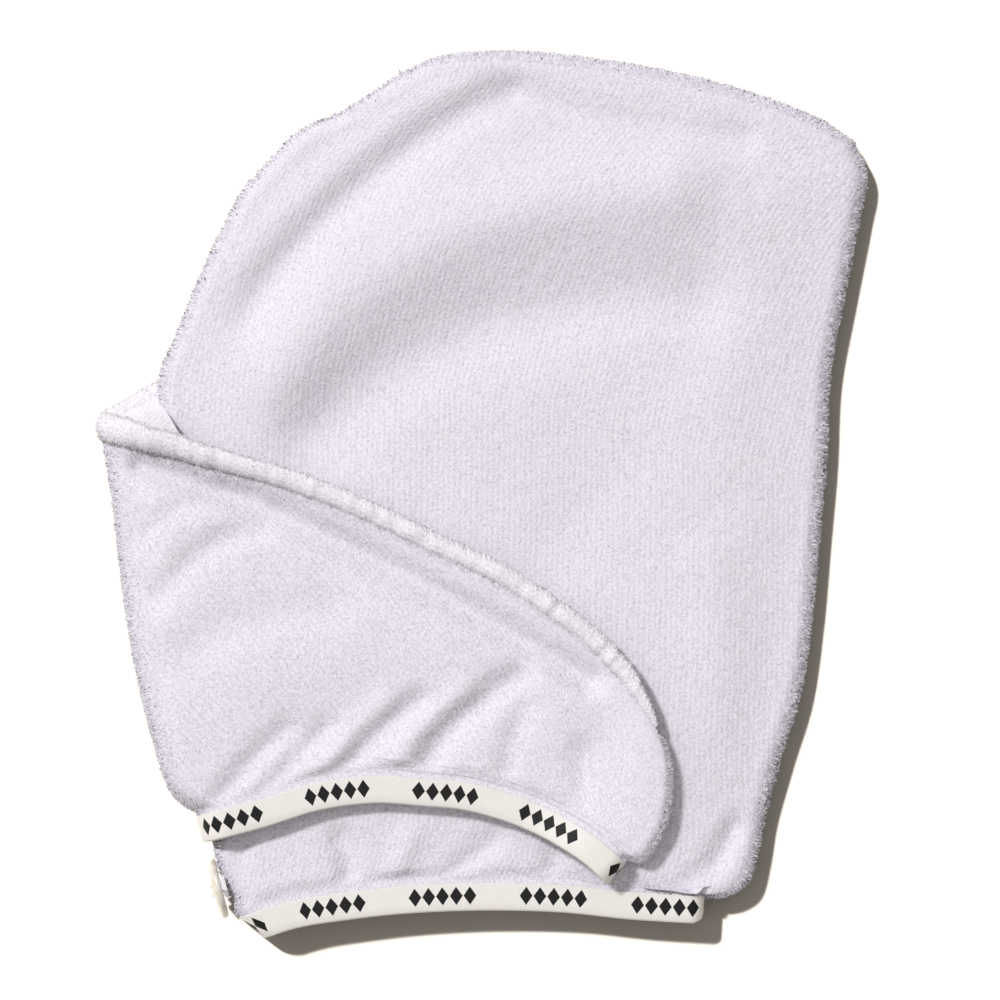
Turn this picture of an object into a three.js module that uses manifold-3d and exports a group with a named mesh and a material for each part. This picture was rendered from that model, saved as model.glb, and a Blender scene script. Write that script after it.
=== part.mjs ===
// A terry hair turban towel lying folded flat: a hood bag with its front flap turned over it.
// Millimetres, +Z up. Across runs left to right, up runs from the front rim to the crown.
import * as THREE from "three";
import { mergeVertices } from "three/addons/utils/BufferGeometryUtils.js";
import Module from "manifold-3d";

// Folded outline
const towelWidth = 278;
const towelLength = 319;

// Cloth
const clothWall = 3; // doubled terry
const hemmedWall = 1.2; // terry pressed flat inside a binding
const pressedLines = 2; // lines of a sheet's grid that stay pressed flat behind its binding
const seamGap = 0.3; // between two cloths sewn edge to edge
const layerGap = 0.9; // between two cloths that lie on each other
const foldRise = 2.2; // tallest fold
const foldSpread = 9; // half width of a common fold
const gatherRise = 2; // tallest gather at an elastic binding
const gatherSpread = 4;
const puffRise = 1.1; // how far gathered cloth swells past its binding
const puffRun = 5;

// Hood bag
const seamHeight = 6; // its side seam above the surface
const edgeRound = 6; // how far in its soft edge turns over
const shoulderHeight = 12;
const crownHeight = 15.2;
const crownRun = 45; // from edge to full height
const mouthHeight = 13.2;
const mouthLift = 1.7; // lower rim above the surface
const mouthRun = 40; // from rim to full height
const rimCorner = { across: 0.812, drop: 1.5 }; // lowest point right of the rim, and its drop

// Elastic bindings
const bandWidth = 10;
const bandWall = 1;
const bandSlack = 0.3; // between binding and cloth, each side
const bandCorner = 0.8; // how much its folded edge is cut back
const rimLead = 1.8; // cloth left straight behind a binding
const hoodSlant = 35; // degrees that the hood's left corner is folded askew
const slantRun = 0.12; // share of the rim over which that ends

// Front flap
const flapHeight = 20.7;
const foldHeight = 8.5; // widest point of its left fold
const foldTurn = 6; // how far in the left fold turns under
const foldReachRim = 9; // from the left fold to full height, at the rim
const foldReachHem = 24; // the same at the hem
const bandEndTurn = 35; // degrees that the rim turns under at the left fold
const turnSettle = 0.105; // share of the flap over which it turns fully under
const dropUsed = 0.9; // share of the room below it that the turned rim takes
const curlRound = 4.6; // right fold, half width
const curlDrop = 4.4; // right fold, half height
const curlReturn = 18; // cloth turned back under the right fold
const curlRun = 48;
const hemDip = 1.6; // how far the flap sinks to its hem
const hemRun = 14;
const seamStep = 0.25; // how finely the way to the hood's seam is measured

// Rolled hem on the flap's upper edge
const hemWidth = 7.4;
const hemHeight = 6.5;
const hemTaper = 0.3; // size left at the right fold
const hemTaperRun = 34;

// Button and its thread
const buttonDiameter = 22;
const buttonRim = 2.2;
const buttonDome = 1;
const dishDiameter = 11;
const dishDepth = 0.6;
const holeDiameter = 2.2;
const holeSpacing = 3.6; // between two neighbouring holes
const threadDiameter = 1.3;
const threadGap = 0.3;
const shankDiameter = 4;
const buttonLean = 2; // degrees that its face looks up
const buttonPlace = { across: 0.166, up: 0.0555 }; // middle of its back
const buttonHeading = new THREE.Vector3(-0.971, -0.238, 0).normalize();

// Hidden elastic loop that takes the button
const loopCord = 2.5;
const loopLength = 34;
const loopSlit = 3; // between its two sides
const loopShare = 0.43; // how far up the hood's left seam it is sewn

// Outlines: shares of the folded width and length, from the lower left
const hoodRim = [
  { across: 0.22, up: 0.003 },
  { across: 0.267, up: 0.015 },
  { across: 0.325, up: 0.023 },
  { across: 0.396, up: 0.03 },
  { across: 0.496, up: 0.034 },
  { across: 0.604, up: 0.032 },
  { across: 0.694, up: 0.024 },
  { across: 0.785, up: 0.019 },
];
const hoodLeft = [
  { across: 0.184, up: 0.037 },
  { across: 0.173, up: 0.056 },
  { across: 0.163, up: 0.078 },
  { across: 0.158, up: 0.096 },
  { across: 0.161, up: 0.112 },
  { across: 0.16, up: 0.138 },
  { across: 0.145, up: 0.188 },
  { across: 0.119, up: 0.267 },
  { across: 0.098, up: 0.38 },
  { across: 0.087, up: 0.493 },
  { across: 0.083, up: 0.572 },
  { across: 0.085, up: 0.631 },
  { across: 0.109, up: 0.683 },
  { across: 0.141, up: 0.751 },
  { across: 0.166, up: 0.798 },
  { across: 0.192, up: 0.841 },
  { across: 0.231, up: 0.879 },
  { across: 0.269, up: 0.911 },
  { across: 0.319, up: 0.93 },
  { across: 0.399, up: 0.974 },
];
const hoodRight = [
  { across: 0.843, up: 0.059 },
  { across: 0.859, up: 0.098 },
  { across: 0.869, up: 0.141 },
  { across: 0.891, up: 0.209 },
  { across: 0.915, up: 0.277 },
  { across: 0.93, up: 0.367 },
  { across: 0.939, up: 0.457 },
  { across: 0.948, up: 0.547 },
  { across: 0.953, up: 0.638 },
  { across: 0.972, up: 0.728 },
  { across: 0.992, up: 0.818 },
  { across: 1, up: 0.863 },
  { across: 0.982, up: 0.898 },
];
const hoodTop = [
  { across: 0.399, up: 0.974 },
  { across: 0.448, up: 0.993 },
  { across: 0.5, up: 0.998 },
  { across: 0.552, up: 0.999 },
  { across: 0.655, up: 0.99 },
  { across: 0.759, up: 0.974 },
  { across: 0.863, up: 0.949 },
  { across: 0.94, up: 0.922 },
  { across: 0.982, up: 0.898 },
];
const flapRim = [
  { across: 0.144, up: 0.111 },
  { across: 0.222, up: 0.129 },
  { across: 0.293, up: 0.148 },
  { across: 0.365, up: 0.156 },
  { across: 0.422, up: 0.153 },
  { across: 0.487, up: 0.147 },
  { across: 0.565, up: 0.125 },
  { across: 0.63, up: 0.093 },
  { across: 0.665, up: 0.067 },
];
const flapLeft = [
  { across: 0.121, up: 0.148 },
  { across: 0.101, up: 0.164 },
  { across: 0.08, up: 0.217 },
  { across: 0.062, up: 0.277 },
  { across: 0.047, up: 0.344 },
  { across: 0.036, up: 0.412 },
  { across: 0.026, up: 0.488 },
  { across: 0.014, up: 0.559 },
];
const flapRight = [
  { across: 0.71, up: 0.089 },
  { across: 0.727, up: 0.107 },
  { across: 0.74, up: 0.132 },
  { across: 0.746, up: 0.172 },
  { across: 0.744, up: 0.2 },
  { across: 0.736, up: 0.222 },
];
const flapTop = [
  { across: 0.014, up: 0.559 },
  { across: 0.06, up: 0.551 },
  { across: 0.097, up: 0.543 },
  { across: 0.159, up: 0.528 },
  { across: 0.229, up: 0.512 },
  { across: 0.306, up: 0.489 },
  { across: 0.396, up: 0.454 },
  { across: 0.439, up: 0.435 },
  { across: 0.512, up: 0.406 },
  { across: 0.584, up: 0.367 },
  { across: 0.642, up: 0.328 },
  { across: 0.681, up: 0.292 },
  { across: 0.709, up: 0.26 },
  { across: 0.736, up: 0.222 },
];

// Folds: ends and bend as shares of the outline, rise and spread as shares of a named fold
const hoodFolds = [
  { from: [0.19, 0.76], bend: [0.32, 0.89], to: [0.48, 0.965], rise: 0.5, spread: 0.8 },
  { from: [0.2, 0.7], bend: [0.32, 0.86], to: [0.53, 0.95], rise: -1, spread: 0.8 },
  { from: [0.25, 0.61], bend: [0.4, 0.82], to: [0.72, 0.81], rise: 0.6, spread: 1.1 },
  { from: [0.28, 0.56], bend: [0.44, 0.72], to: [0.78, 0.72], rise: -0.8, spread: 1.3 },
  { from: [0.55, 0.95], bend: [0.68, 0.91], to: [0.84, 0.9], rise: -0.7, spread: 0.7 },
  { from: [0.8, 0.2], bend: [0.82, 0.3], to: [0.8, 0.42], rise: 0.3, spread: 1.2 },
];
const hoodGathers = [
  { from: [0.17, 0.04], bend: [0.185, 0.075], to: [0.19, 0.11], rise: -0.6, spread: 0.8 },
  { from: [0.325, 0.05], bend: [0.34, 0.075], to: [0.32, 0.11], rise: -0.8, spread: 0.9 },
  { from: [0.46, 0.06], bend: [0.47, 0.08], to: [0.52, 0.11], rise: -0.6, spread: 0.9 },
  { from: [0.59, 0.06], bend: [0.595, 0.09], to: [0.6, 0.12], rise: -0.5, spread: 0.8 },
  { from: [0.765, 0.045], bend: [0.8, 0.07], to: [0.83, 0.12], rise: -0.9, spread: 1 },
  { from: [0.39, 0.06], bend: [0.395, 0.08], to: [0.41, 0.11], rise: 0.5, spread: 1 },
];
const flapGathers = [
  { from: [0.32, 0.18], bend: [0.36, 0.24], to: [0.42, 0.265], rise: -1, spread: 1 },
  { from: [0.435, 0.2], bend: [0.46, 0.25], to: [0.55, 0.295], rise: -1, spread: 1.1 },
  { from: [0.165, 0.155], bend: [0.19, 0.19], to: [0.25, 0.235], rise: -0.7, spread: 0.9 },
  { from: [0.23, 0.165], bend: [0.255, 0.2], to: [0.3, 0.235], rise: -0.6, spread: 0.9 },
  { from: [0.535, 0.19], bend: [0.54, 0.22], to: [0.56, 0.26], rise: -0.5, spread: 0.9 },
  { from: [0.285, 0.17], bend: [0.32, 0.215], to: [0.38, 0.26], rise: 0.6, spread: 1 },
  { from: [0.39, 0.19], bend: [0.41, 0.235], to: [0.48, 0.275], rise: 0.6, spread: 1 },
  { from: [0.62, 0.13], bend: [0.64, 0.17], to: [0.63, 0.21], rise: -0.4, spread: 0.9 },
];
const flapFolds = [
  { from: [0.06, 0.525], bend: [0.3, 0.47], to: [0.62, 0.3], rise: -0.6, spread: 0.7 },
  { from: [0.08, 0.41], bend: [0.14, 0.45], to: [0.21, 0.45], rise: -0.4, spread: 0.9 },
  { from: [0.1, 0.34], bend: [0.19, 0.38], to: [0.3, 0.37], rise: -0.4, spread: 1 },
  { from: [0.2, 0.3], bend: [0.4, 0.4], to: [0.6, 0.27], rise: 0.5, spread: 2 },
];

// Ways that the cloth turned under the flap's two folds runs
const midHeadingLeft = new THREE.Vector3(1, 0.1, 0).normalize();
const hemHeadingLeft = new THREE.Vector3(0.85, 0.53, 0).normalize();
const hemHeadingRight = new THREE.Vector3(-1, 0.15, 0).normalize();
const headingTurns = { rimUpTo: 0.3, hemFrom: 0.55 };

// Button outline: share of its radius, shares of its rim and of its dome
const buttonOutline = [
  { out: 0, rim: 0, dome: 0 },
  { out: 0.94, rim: 0, dome: 0 },
  { out: 1, rim: 0.35, dome: 0 },
  { out: 1, rim: 0.75, dome: 0 },
  { out: 0.93, rim: 1, dome: 0.25 },
  { out: 0.75, rim: 1, dome: 0.8 },
];

// Where the grids have their lines: close together at soft edges, wide apart between
const hoodColumns = [
  0, 0.004, 0.013, 0.027, 0.05, 0.085, 0.125, 0.17, 0.215, 0.26, 0.305, 0.35, 0.395, 0.44, 0.485,
  0.53, 0.575, 0.62, 0.665, 0.71, 0.755, 0.8, 0.845, 0.885, 0.92, 0.95, 0.973, 0.987, 0.996, 1,
];
const hoodRows = [
  0, 0.014, 0.032, 0.055, 0.085, 0.12, 0.17, 0.23, 0.29, 0.35, 0.41, 0.47, 0.53, 0.59, 0.65, 0.71,
  0.765, 0.815, 0.86, 0.9, 0.935, 0.96, 0.979, 0.99, 0.997, 1,
];
const underRows = [
  0, 0.014, 0.04, 0.1, 0.2, 0.32, 0.44, 0.56, 0.65, 0.73, 0.8, 0.85, 0.9, 0.935, 0.965, 0.985, 0.996, 1,
];
const flapColumns = [
  0, 0.008, 0.026, 0.055, 0.095, 0.14, 0.19, 0.24, 0.29, 0.34, 0.39, 0.44, 0.49, 0.54, 0.59, 0.64,
  0.69, 0.74, 0.79, 0.84, 0.89, 0.93, 0.96, 0.98, 0.992, 1,
];
const flapRows = [0, 0.025, 0.06, 0.105, 0.16, 0.225, 0.3, 0.39, 0.49, 0.6, 0.71, 0.82, 0.92, 1];
const turnSteps = 4; // lines round the lower half of a fold
const legSteps = 2; // lines on the cloth turned under
const edgeSamples = 90;
const foldSamples = 10;
const hemSides = 10;
const buttonSides = 28;
const threadSides = 8;
const loopSteps = 20;

const upward = new THREE.Vector3(0, 0, 1);
const tiny = 1e-6; // keeps a division away from zero
const smooth = (value) => THREE.MathUtils.smoothstep(value, 0, 1);
const roundOver = (share) => Math.sqrt(1 - (1 - Math.min(1, Math.max(0, share))) ** 2);
const mix = THREE.MathUtils.lerp;
const inPlan = ([across, up]) => new THREE.Vector3(across * towelWidth, up * towelLength, 0);
const tablePoints = (table) => table.map(({ across, up }) => inPlan([across, up]));
const curveThrough = (points) => new THREE.CatmullRomCurve3(points, false, "centripetal");

// Shortest way in plan from a point to a line of points
function planDistance(point, line) {
  let nearest = Infinity;
  for (let i = 1; i < line.length; i += 1) {
    const [ax, ay] = [line[i - 1].x, line[i - 1].y];
    const [bx, by] = [line[i].x - ax, line[i].y - ay];
    const along = ((point.x - ax) * bx + (point.y - ay) * by) / Math.max(bx * bx + by * by, tiny);
    const held = Math.min(1, Math.max(0, along));
    nearest = Math.min(nearest, Math.hypot(point.x - ax - held * bx, point.y - ay - held * by));
  }
  return nearest;
}

// Height that a table of folds adds at a point
function foldsAt(folds, rise, spread) {
  const lines = folds.map((fold) => ({
    ...fold,
    line: new THREE.QuadraticBezierCurve3(
      inPlan(fold.from),
      inPlan(fold.bend),
      inPlan(fold.to),
    ).getPoints(foldSamples),
  }));
  return (point) => {
    let height = 0;
    for (const fold of lines) {
      const away = planDistance(point, fold.line) / (spread * fold.spread);
      height += rise * fold.rise * Math.exp(-away * away);
    }
    return height;
  };
}

// The rim of a sheet and the straight stretch behind it that a binding covers
const bandReach = bandWidth - bandWall - bandSlack;
const slotDepth = bandReach + rimLead;
function rimWithBand(table, slantLeft) {
  const rim = curveThrough(tablePoints(table));
  const ruling = (u) => {
    const slant = THREE.MathUtils.degToRad(slantLeft) * (1 - smooth(u / slantRun));
    const into = rim.getTangentAt(u).cross(upward).negate();
    return into.applyAxisAngle(upward, slant).multiplyScalar(slotDepth / Math.cos(slant));
  };
  const edge = (u) => rim.getPointAt(u);
  const inner = (u) => edge(u).add(ruling(u));
  const heading = (u) => rim.getTangentAt(u);
  return { edge, inner, heading };
}

// A patch between four edge curves, as a function of its two shares
function patchBetween(bottom, top, left, right) {
  return (u, v) => {
    const point = bottom(u).multiplyScalar(1 - v).addScaledVector(top(u), v);
    point.addScaledVector(left(v), 1 - u).addScaledVector(right(v), u);
    point.addScaledVector(bottom(0), -(1 - u) * (1 - v)).addScaledVector(bottom(1), -u * (1 - v));
    return point.addScaledVector(top(0), -(1 - u) * v).addScaledVector(top(1), -u * v);
  };
}

// Unit normals of a grid of points; a closed side turns its normal level
function gridNormals(grid, facing, closed) {
  const [lastRow, lastColumn] = [grid.length - 1, grid[0].length - 1];
  const level = (vector) => vector.setZ(0).normalize();
  return grid.map((row, j) => row.map((point, i) => {
    const slot = j <= 1;
    const before = slot ? grid[0] : grid[j - 1];
    const after = slot ? grid[1] : grid[Math.min(j + 1, lastRow)];
    const base = slot ? grid[0] : row;
    const along = new THREE.Vector3().subVectors(after[i], before[i]);
    const across = new THREE.Vector3().subVectors(
      base[Math.min(i + 1, lastColumn)],
      base[Math.max(i - 1, 0)],
    );
    const side = i === 0 ? 1 : -1;
    const atSide = closed && (i === 0 || i === lastColumn);
    const atTop = closed && j === lastRow;
    const sideways = new THREE.Vector3(0, 0, side).cross(along);
    const forward = across.clone().cross(new THREE.Vector3(0, 0, -1));
    if (atSide && atTop) return level(sideways.normalize().add(forward.normalize()));
    if (atSide) return level(sideways);
    if (atTop) return level(forward);
    return across.cross(along).normalize().multiplyScalar(facing);
  }));
}

// A closed sheet: its outer face is the grid, its inner face lies one wall behind it.
// A sheet that is sewn round its sides starts at its seam and never reaches past it.
function clothSheet(grid, wallAt, facing, closed) {
  const normals = gridNormals(grid, facing, closed);
  const seam = closed ? grid.at(-1)[0].z : null;
  const limit = facing > 0 ? Math.max : Math.min;
  const [rows, columns] = [grid.length, grid[0].length];
  const positions = [];
  for (const row of grid) for (const point of row) positions.push(...point.toArray());
  grid.forEach((row, j) => row.forEach((point, i) => {
    const behind = point.clone().addScaledVector(normals[j][i], -wallAt(j, i));
    if (closed) behind.z = limit(behind.z, seam);
    positions.push(...behind.toArray());
  }));
  const indices = [];
  const outer = (j, i) => j * columns + i;
  const inner = (j, i) => rows * columns + outer(j, i);
  const face = (a, b, c, d) => {
    const turn = facing > 0 ? [a, b, c, a, c, d] : [a, c, b, a, d, c];
    indices.push(...turn);
  };
  for (let j = 1; j < rows; j += 1) {
    for (let i = 1; i < columns; i += 1) {
      face(outer(j - 1, i - 1), outer(j - 1, i), outer(j, i), outer(j, i - 1));
      face(inner(j - 1, i - 1), inner(j, i - 1), inner(j, i), inner(j - 1, i));
    }
  }
  for (let i = 1; i < columns; i += 1) {
    face(inner(0, i - 1), inner(0, i), outer(0, i), outer(0, i - 1));
    face(outer(rows - 1, i - 1), outer(rows - 1, i), inner(rows - 1, i), inner(rows - 1, i - 1));
  }
  for (let j = 1; j < rows; j += 1) {
    face(outer(j - 1, 0), outer(j, 0), inner(j, 0), inner(j - 1, 0));
    face(inner(j - 1, columns - 1), inner(j, columns - 1), outer(j, columns - 1), outer(j - 1, columns - 1));
  }
  const geometry = new THREE.BufferGeometry();
  geometry.setAttribute("position", new THREE.Float32BufferAttribute(positions, 3));
  geometry.setIndex(indices);
  return { geometry, normals };
}

// A solid through rings of points; the ends are closed over the ring's own outline
function loft(rings, loop, outline) {
  const count = rings[0].length;
  const positions = rings.flat().flatMap((point) => point.toArray());
  const indices = [];
  const last = loop ? rings.length : rings.length - 1;
  for (let k = 0; k < last; k += 1) {
    const next = (k + 1) % rings.length;
    for (let i = 0; i < count; i += 1) {
      const [a, b] = [k * count + i, k * count + ((i + 1) % count)];
      const [c, d] = [next * count + ((i + 1) % count), next * count + i];
      indices.push(a, b, c, a, c, d);
    }
  }
  if (!loop) {
    const end = (rings.length - 1) * count;
    const clockwise = THREE.ShapeUtils.isClockWise(outline);
    for (const [a, second, third] of THREE.ShapeUtils.triangulateShape(outline, [])) {
      const [b, c] = clockwise ? [third, second] : [second, third];
      indices.push(a, c, b, end + a, end + b, end + c);
    }
  }
  const geometry = new THREE.BufferGeometry();
  geometry.setAttribute("position", new THREE.Float32BufferAttribute(positions, 3));
  geometry.setIndex(indices);
  return geometry;
}

// The folded elastic's section: height above the cloth's outer face, depth from its cut edge
const bandOutside = bandSlack + bandWall;
const bandInside = -(hemmedWall + bandSlack + bandWall);
const bandSection = [
  new THREE.Vector2(bandOutside, bandReach),
  new THREE.Vector2(bandOutside, bandCorner - bandOutside),
  new THREE.Vector2(bandOutside - bandCorner, -bandOutside),
  new THREE.Vector2(bandInside + bandCorner, -bandOutside),
  new THREE.Vector2(bandInside, bandCorner - bandOutside),
  new THREE.Vector2(bandInside, bandReach),
  new THREE.Vector2(bandInside + bandWall, bandReach),
  new THREE.Vector2(bandInside + bandWall, -bandSlack),
  new THREE.Vector2(bandSlack, -bandSlack),
  new THREE.Vector2(bandSlack, bandReach),
];

function bandRing({ point, normal, into }) {
  const depth = into.clone().divideScalar(slotDepth);
  return bandSection.map((corner) => (
    point.clone().addScaledVector(normal, corner.x).addScaledVector(depth, corner.y)
  ));
}

function rimStations(grid, normals) {
  return grid[0].map((point, i) => ({
    point,
    normal: normals[0][i],
    into: new THREE.Vector3().subVectors(grid[1][i], point),
  }));
}

// Hood bag: the same plan for both panels, meeting at a level side seam
const hoodBand = rimWithBand(hoodRim, hoodSlant);
const hoodLeftCurve = curveThrough([hoodBand.inner(0), ...tablePoints(hoodLeft)]);
const hoodRimEnd = hoodBand.inner(1);
const hoodCorner = new THREE.Vector3(rimCorner.across * towelWidth, hoodRimEnd.y - rimCorner.drop, 0);
const hoodRightCurve = curveThrough([hoodRimEnd, hoodCorner, ...tablePoints(hoodRight)]);
const hoodTopCurve = curveThrough(tablePoints(hoodTop));
const hoodPatch = patchBetween(
  hoodBand.inner,
  (u) => hoodTopCurve.getPointAt(u),
  (v) => hoodLeftCurve.getPointAt(v),
  (v) => hoodRightCurve.getPointAt(v),
);
const hoodLeftLine = hoodLeftCurve.getSpacedPoints(edgeSamples);
const hoodSeamLine = [
  ...hoodLeftLine,
  ...hoodTopCurve.getSpacedPoints(edgeSamples),
  ...hoodRightCurve.getSpacedPoints(edgeSamples).reverse(),
];
const hoodBandLine = hoodColumns.map((u) => hoodBand.inner(u));
const hoodFoldHeight = foldsAt(hoodFolds, foldRise, foldSpread);
const hoodGatherHeight = foldsAt(hoodGathers, gatherRise, gatherSpread);

function rimHeight(u, middle) {
  const point = hoodBand.edge(u);
  const away = Math.min(point.distanceTo(hoodBand.edge(0)), point.distanceTo(hoodBand.edge(1)));
  return mix(seamHeight, middle, roundOver(away / edgeRound));
}

function hoodHeight(point, rimLevel) {
  const fromSeam = planDistance(point, hoodSeamLine);
  const fromBand = planDistance(point, hoodBandLine);
  const soft = mix(seamHeight, shoulderHeight, roundOver(fromSeam / edgeRound));
  const dome = soft + (crownHeight - shoulderHeight) * smooth(fromSeam / crownRun);
  const folds = hoodFoldHeight(point) + hoodGatherHeight(point) * smooth(fromBand / puffRun);
  const seated = smooth(fromSeam / (2 * edgeRound));
  const puffed = rimLevel + puffRise * smooth(fromBand / puffRun) * seated;
  return mix(puffed, dome, smooth(fromBand / mouthRun)) + folds * seated;
}

function hoodGrid(rowShares, rimMiddle, heightAt) {
  const rim = hoodColumns.map((u) => hoodBand.edge(u).setZ(rimHeight(u, rimMiddle)));
  const rows = rowShares.map((v) => hoodColumns.map((u) => {
    const point = hoodPatch(u, v);
    const level = rimHeight(u, rimMiddle);
    const onSeam = u === 0 || u === 1 || v === 1;
    if (onSeam) return point.setZ(seamHeight);
    return point.setZ(v === 0 ? level : heightAt(point, level));
  }));
  return [rim, ...rows];
}

const hoodWall = (j) => (j <= pressedLines ? hemmedWall : clothWall);

function raised(grid, height) {
  return grid.map((row) => row.map((point) => point.clone().add(new THREE.Vector3(0, 0, height))));
}

const upperGrid = hoodGrid(hoodRows, mouthHeight, hoodHeight);
const upperPanel = clothSheet(raised(upperGrid, seamGap / 2), hoodWall, 1, true);

function underHeight(point, rimLevel) {
  const flat = mix(seamHeight, 0, roundOver(planDistance(point, hoodSeamLine) / edgeRound));
  return mix(rimLevel, flat, smooth(planDistance(point, hoodBandLine) / puffRun));
}

const underGrid = hoodGrid(underRows, mouthLift, underHeight);
const underPanel = clothSheet(raised(underGrid, -seamGap / 2), hoodWall, -1, true);

function rimBinding() {
  const upper = rimStations(upperGrid, upperPanel.normals);
  const lower = rimStations(underGrid, underPanel.normals).slice(1, -1).reverse();
  return loft([...upper, ...lower].map(bandRing), true);
}

// Front flap: lines run from under the left fold, over the hood, and back under the right fold
const flapBand = rimWithBand(flapRim, 0);
const flapLeftCurve = curveThrough([flapBand.inner(0), ...tablePoints(flapLeft)]);
const flapRightCurve = curveThrough([flapBand.inner(1), ...tablePoints(flapRight)]);
const flapTopCurve = curveThrough(tablePoints(flapTop));
const flapPatch = patchBetween(
  flapBand.inner,
  (u) => flapTopCurve.getPointAt(u),
  (v) => flapLeftCurve.getPointAt(v),
  (v) => flapRightCurve.getPointAt(v),
);
const flapTopLine = flapTopCurve.getSpacedPoints(edgeSamples);
const flapBandLine = flapColumns.map((u) => flapBand.inner(u));
const flapGatherHeight = foldsAt(flapGathers, gatherRise, gatherSpread);
const flapFoldHeight = foldsAt(flapFolds, foldRise, foldSpread);
const returnHeight = crownHeight + layerGap;
const curlMiddle = returnHeight + curlDrop;

function flapHeightAt(point, fromLeft, fromRight, v) {
  const curl = 1 - smooth((fromRight - curlReturn / 2) / (curlRun - curlReturn));
  let height = mix(flapHeight, curlMiddle + curlDrop, curl);
  if (v > 0) {
    const fromBand = planDistance(point, flapBandLine);
    const inside = smooth(fromLeft / foldReachRim) * (1 - curl);
    const folds = flapGatherHeight(point) * smooth(fromBand / puffRun) + flapFoldHeight(point);
    height += folds * inside + puffRise * smooth(fromBand / puffRun) * inside;
    height -= hemDip * (1 - smooth(planDistance(point, flapTopLine) / hemRun)) * inside;
  }
  const reach = mix(foldReachRim, foldReachHem, smooth(v));
  height = mix(foldHeight, height, roundOver(fromLeft / reach));
  return mix(curlMiddle, height, roundOver(fromRight / curlRound));
}

// How far a line can run from the left fold before it meets the hood's side seam
function roomToSeam(start, heading, gap) {
  for (let length = 0; length < towelWidth; length += seamStep) {
    const point = start.clone().addScaledVector(heading, length);
    const next = hoodLeftLine.findIndex((sample) => sample.y > point.y);
    const [below, above] = [hoodLeftLine[Math.max(0, next - 1)], hoodLeftLine[Math.max(0, next)]];
    const share = (point.y - below.y) / Math.max(above.y - below.y, tiny);
    const seamX = mix(below.x, above.x, Math.min(1, Math.max(0, share)));
    if (point.x > seamX - gap) return length;
  }
  return towelWidth;
}

// Cloth turned under the left fold, from its end to the fold
function leftTurn(start, heading, share) {
  const turn = THREE.MathUtils.degToRad(mix(bandEndTurn, 90, share));
  const room = (roomToSeam(start, heading, layerGap) - foldTurn) * share;
  const drop = (foldHeight * (1 - Math.sin(turn))) / Math.max(Math.cos(turn), tiny);
  const flat = share < 1 ? Math.min(Math.max(bandWall, room), drop * dropUsed) : room;
  const across = (angle) => foldTurn * (1 - Math.cos(angle));
  const height = (angle) => foldHeight * (1 - Math.sin(angle));
  const points = [];
  for (let k = legSteps; k > 0; k -= 1) {
    const run = (flat * k) / legSteps;
    const point = start.clone().addScaledVector(heading, across(turn) + run * Math.sin(turn));
    points.push(point.setZ(height(turn) - run * Math.cos(turn)));
  }
  for (let k = turnSteps; k > 0; k -= 1) {
    const angle = (turn * k) / turnSteps;
    points.push(start.clone().addScaledVector(heading, across(angle)).setZ(height(angle)));
  }
  return points;
}

// Cloth turned under the right fold, from the fold to its end
function rightTurn(start, heading, lift) {
  const drop = curlDrop - lift;
  const points = [];
  for (let k = 1; k <= turnSteps; k += 1) {
    const angle = ((Math.PI / 2) * k) / turnSteps;
    const point = start.clone().addScaledVector(heading, curlRound * (1 - Math.cos(angle)));
    points.push(point.setZ(curlMiddle - drop * Math.sin(angle)));
  }
  for (let k = 1; k <= legSteps; k += 1) {
    const run = curlRound + ((curlReturn - curlRound) * k) / legSteps;
    points.push(start.clone().addScaledVector(heading, run).setZ(curlMiddle - drop));
  }
  return points;
}

const rimHeadingLeft = flapBand.heading(0);
const rimHeadingRight = flapBand.heading(1).negate();

function headingLeft(v) {
  const { rimUpTo, hemFrom } = headingTurns;
  const lower = rimHeadingLeft.clone().lerp(midHeadingLeft, smooth(v / rimUpTo));
  return lower.lerp(hemHeadingLeft, smooth((v - hemFrom) / (1 - hemFrom))).normalize();
}

function flapLine(at, v, underShare) {
  const [start, end] = [at(0), at(1)];
  const over = flapColumns.map((u) => {
    const point = at(u);
    return point.setZ(flapHeightAt(point, point.distanceTo(start), point.distanceTo(end), v));
  });
  const headingRight = rimHeadingRight.clone().lerp(hemHeadingRight, smooth(v)).normalize();
  const lift = bandOutside * (1 - underShare);
  const under = rightTurn(end, headingRight, lift);
  return [...leftTurn(start, headingLeft(v), underShare), ...over, ...under];
}

const flapGrid = [
  flapLine(flapBand.edge, 0, 0),
  ...flapRows.map((v) => flapLine((u) => flapPatch(u, v), v, smooth(v / turnSettle))),
];
const frontFlap = clothSheet(flapGrid, hoodWall, 1, false);

function flapBinding() {
  return loft(rimStations(flapGrid, frontFlap.normals).map(bandRing), false, bandSection);
}

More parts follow.
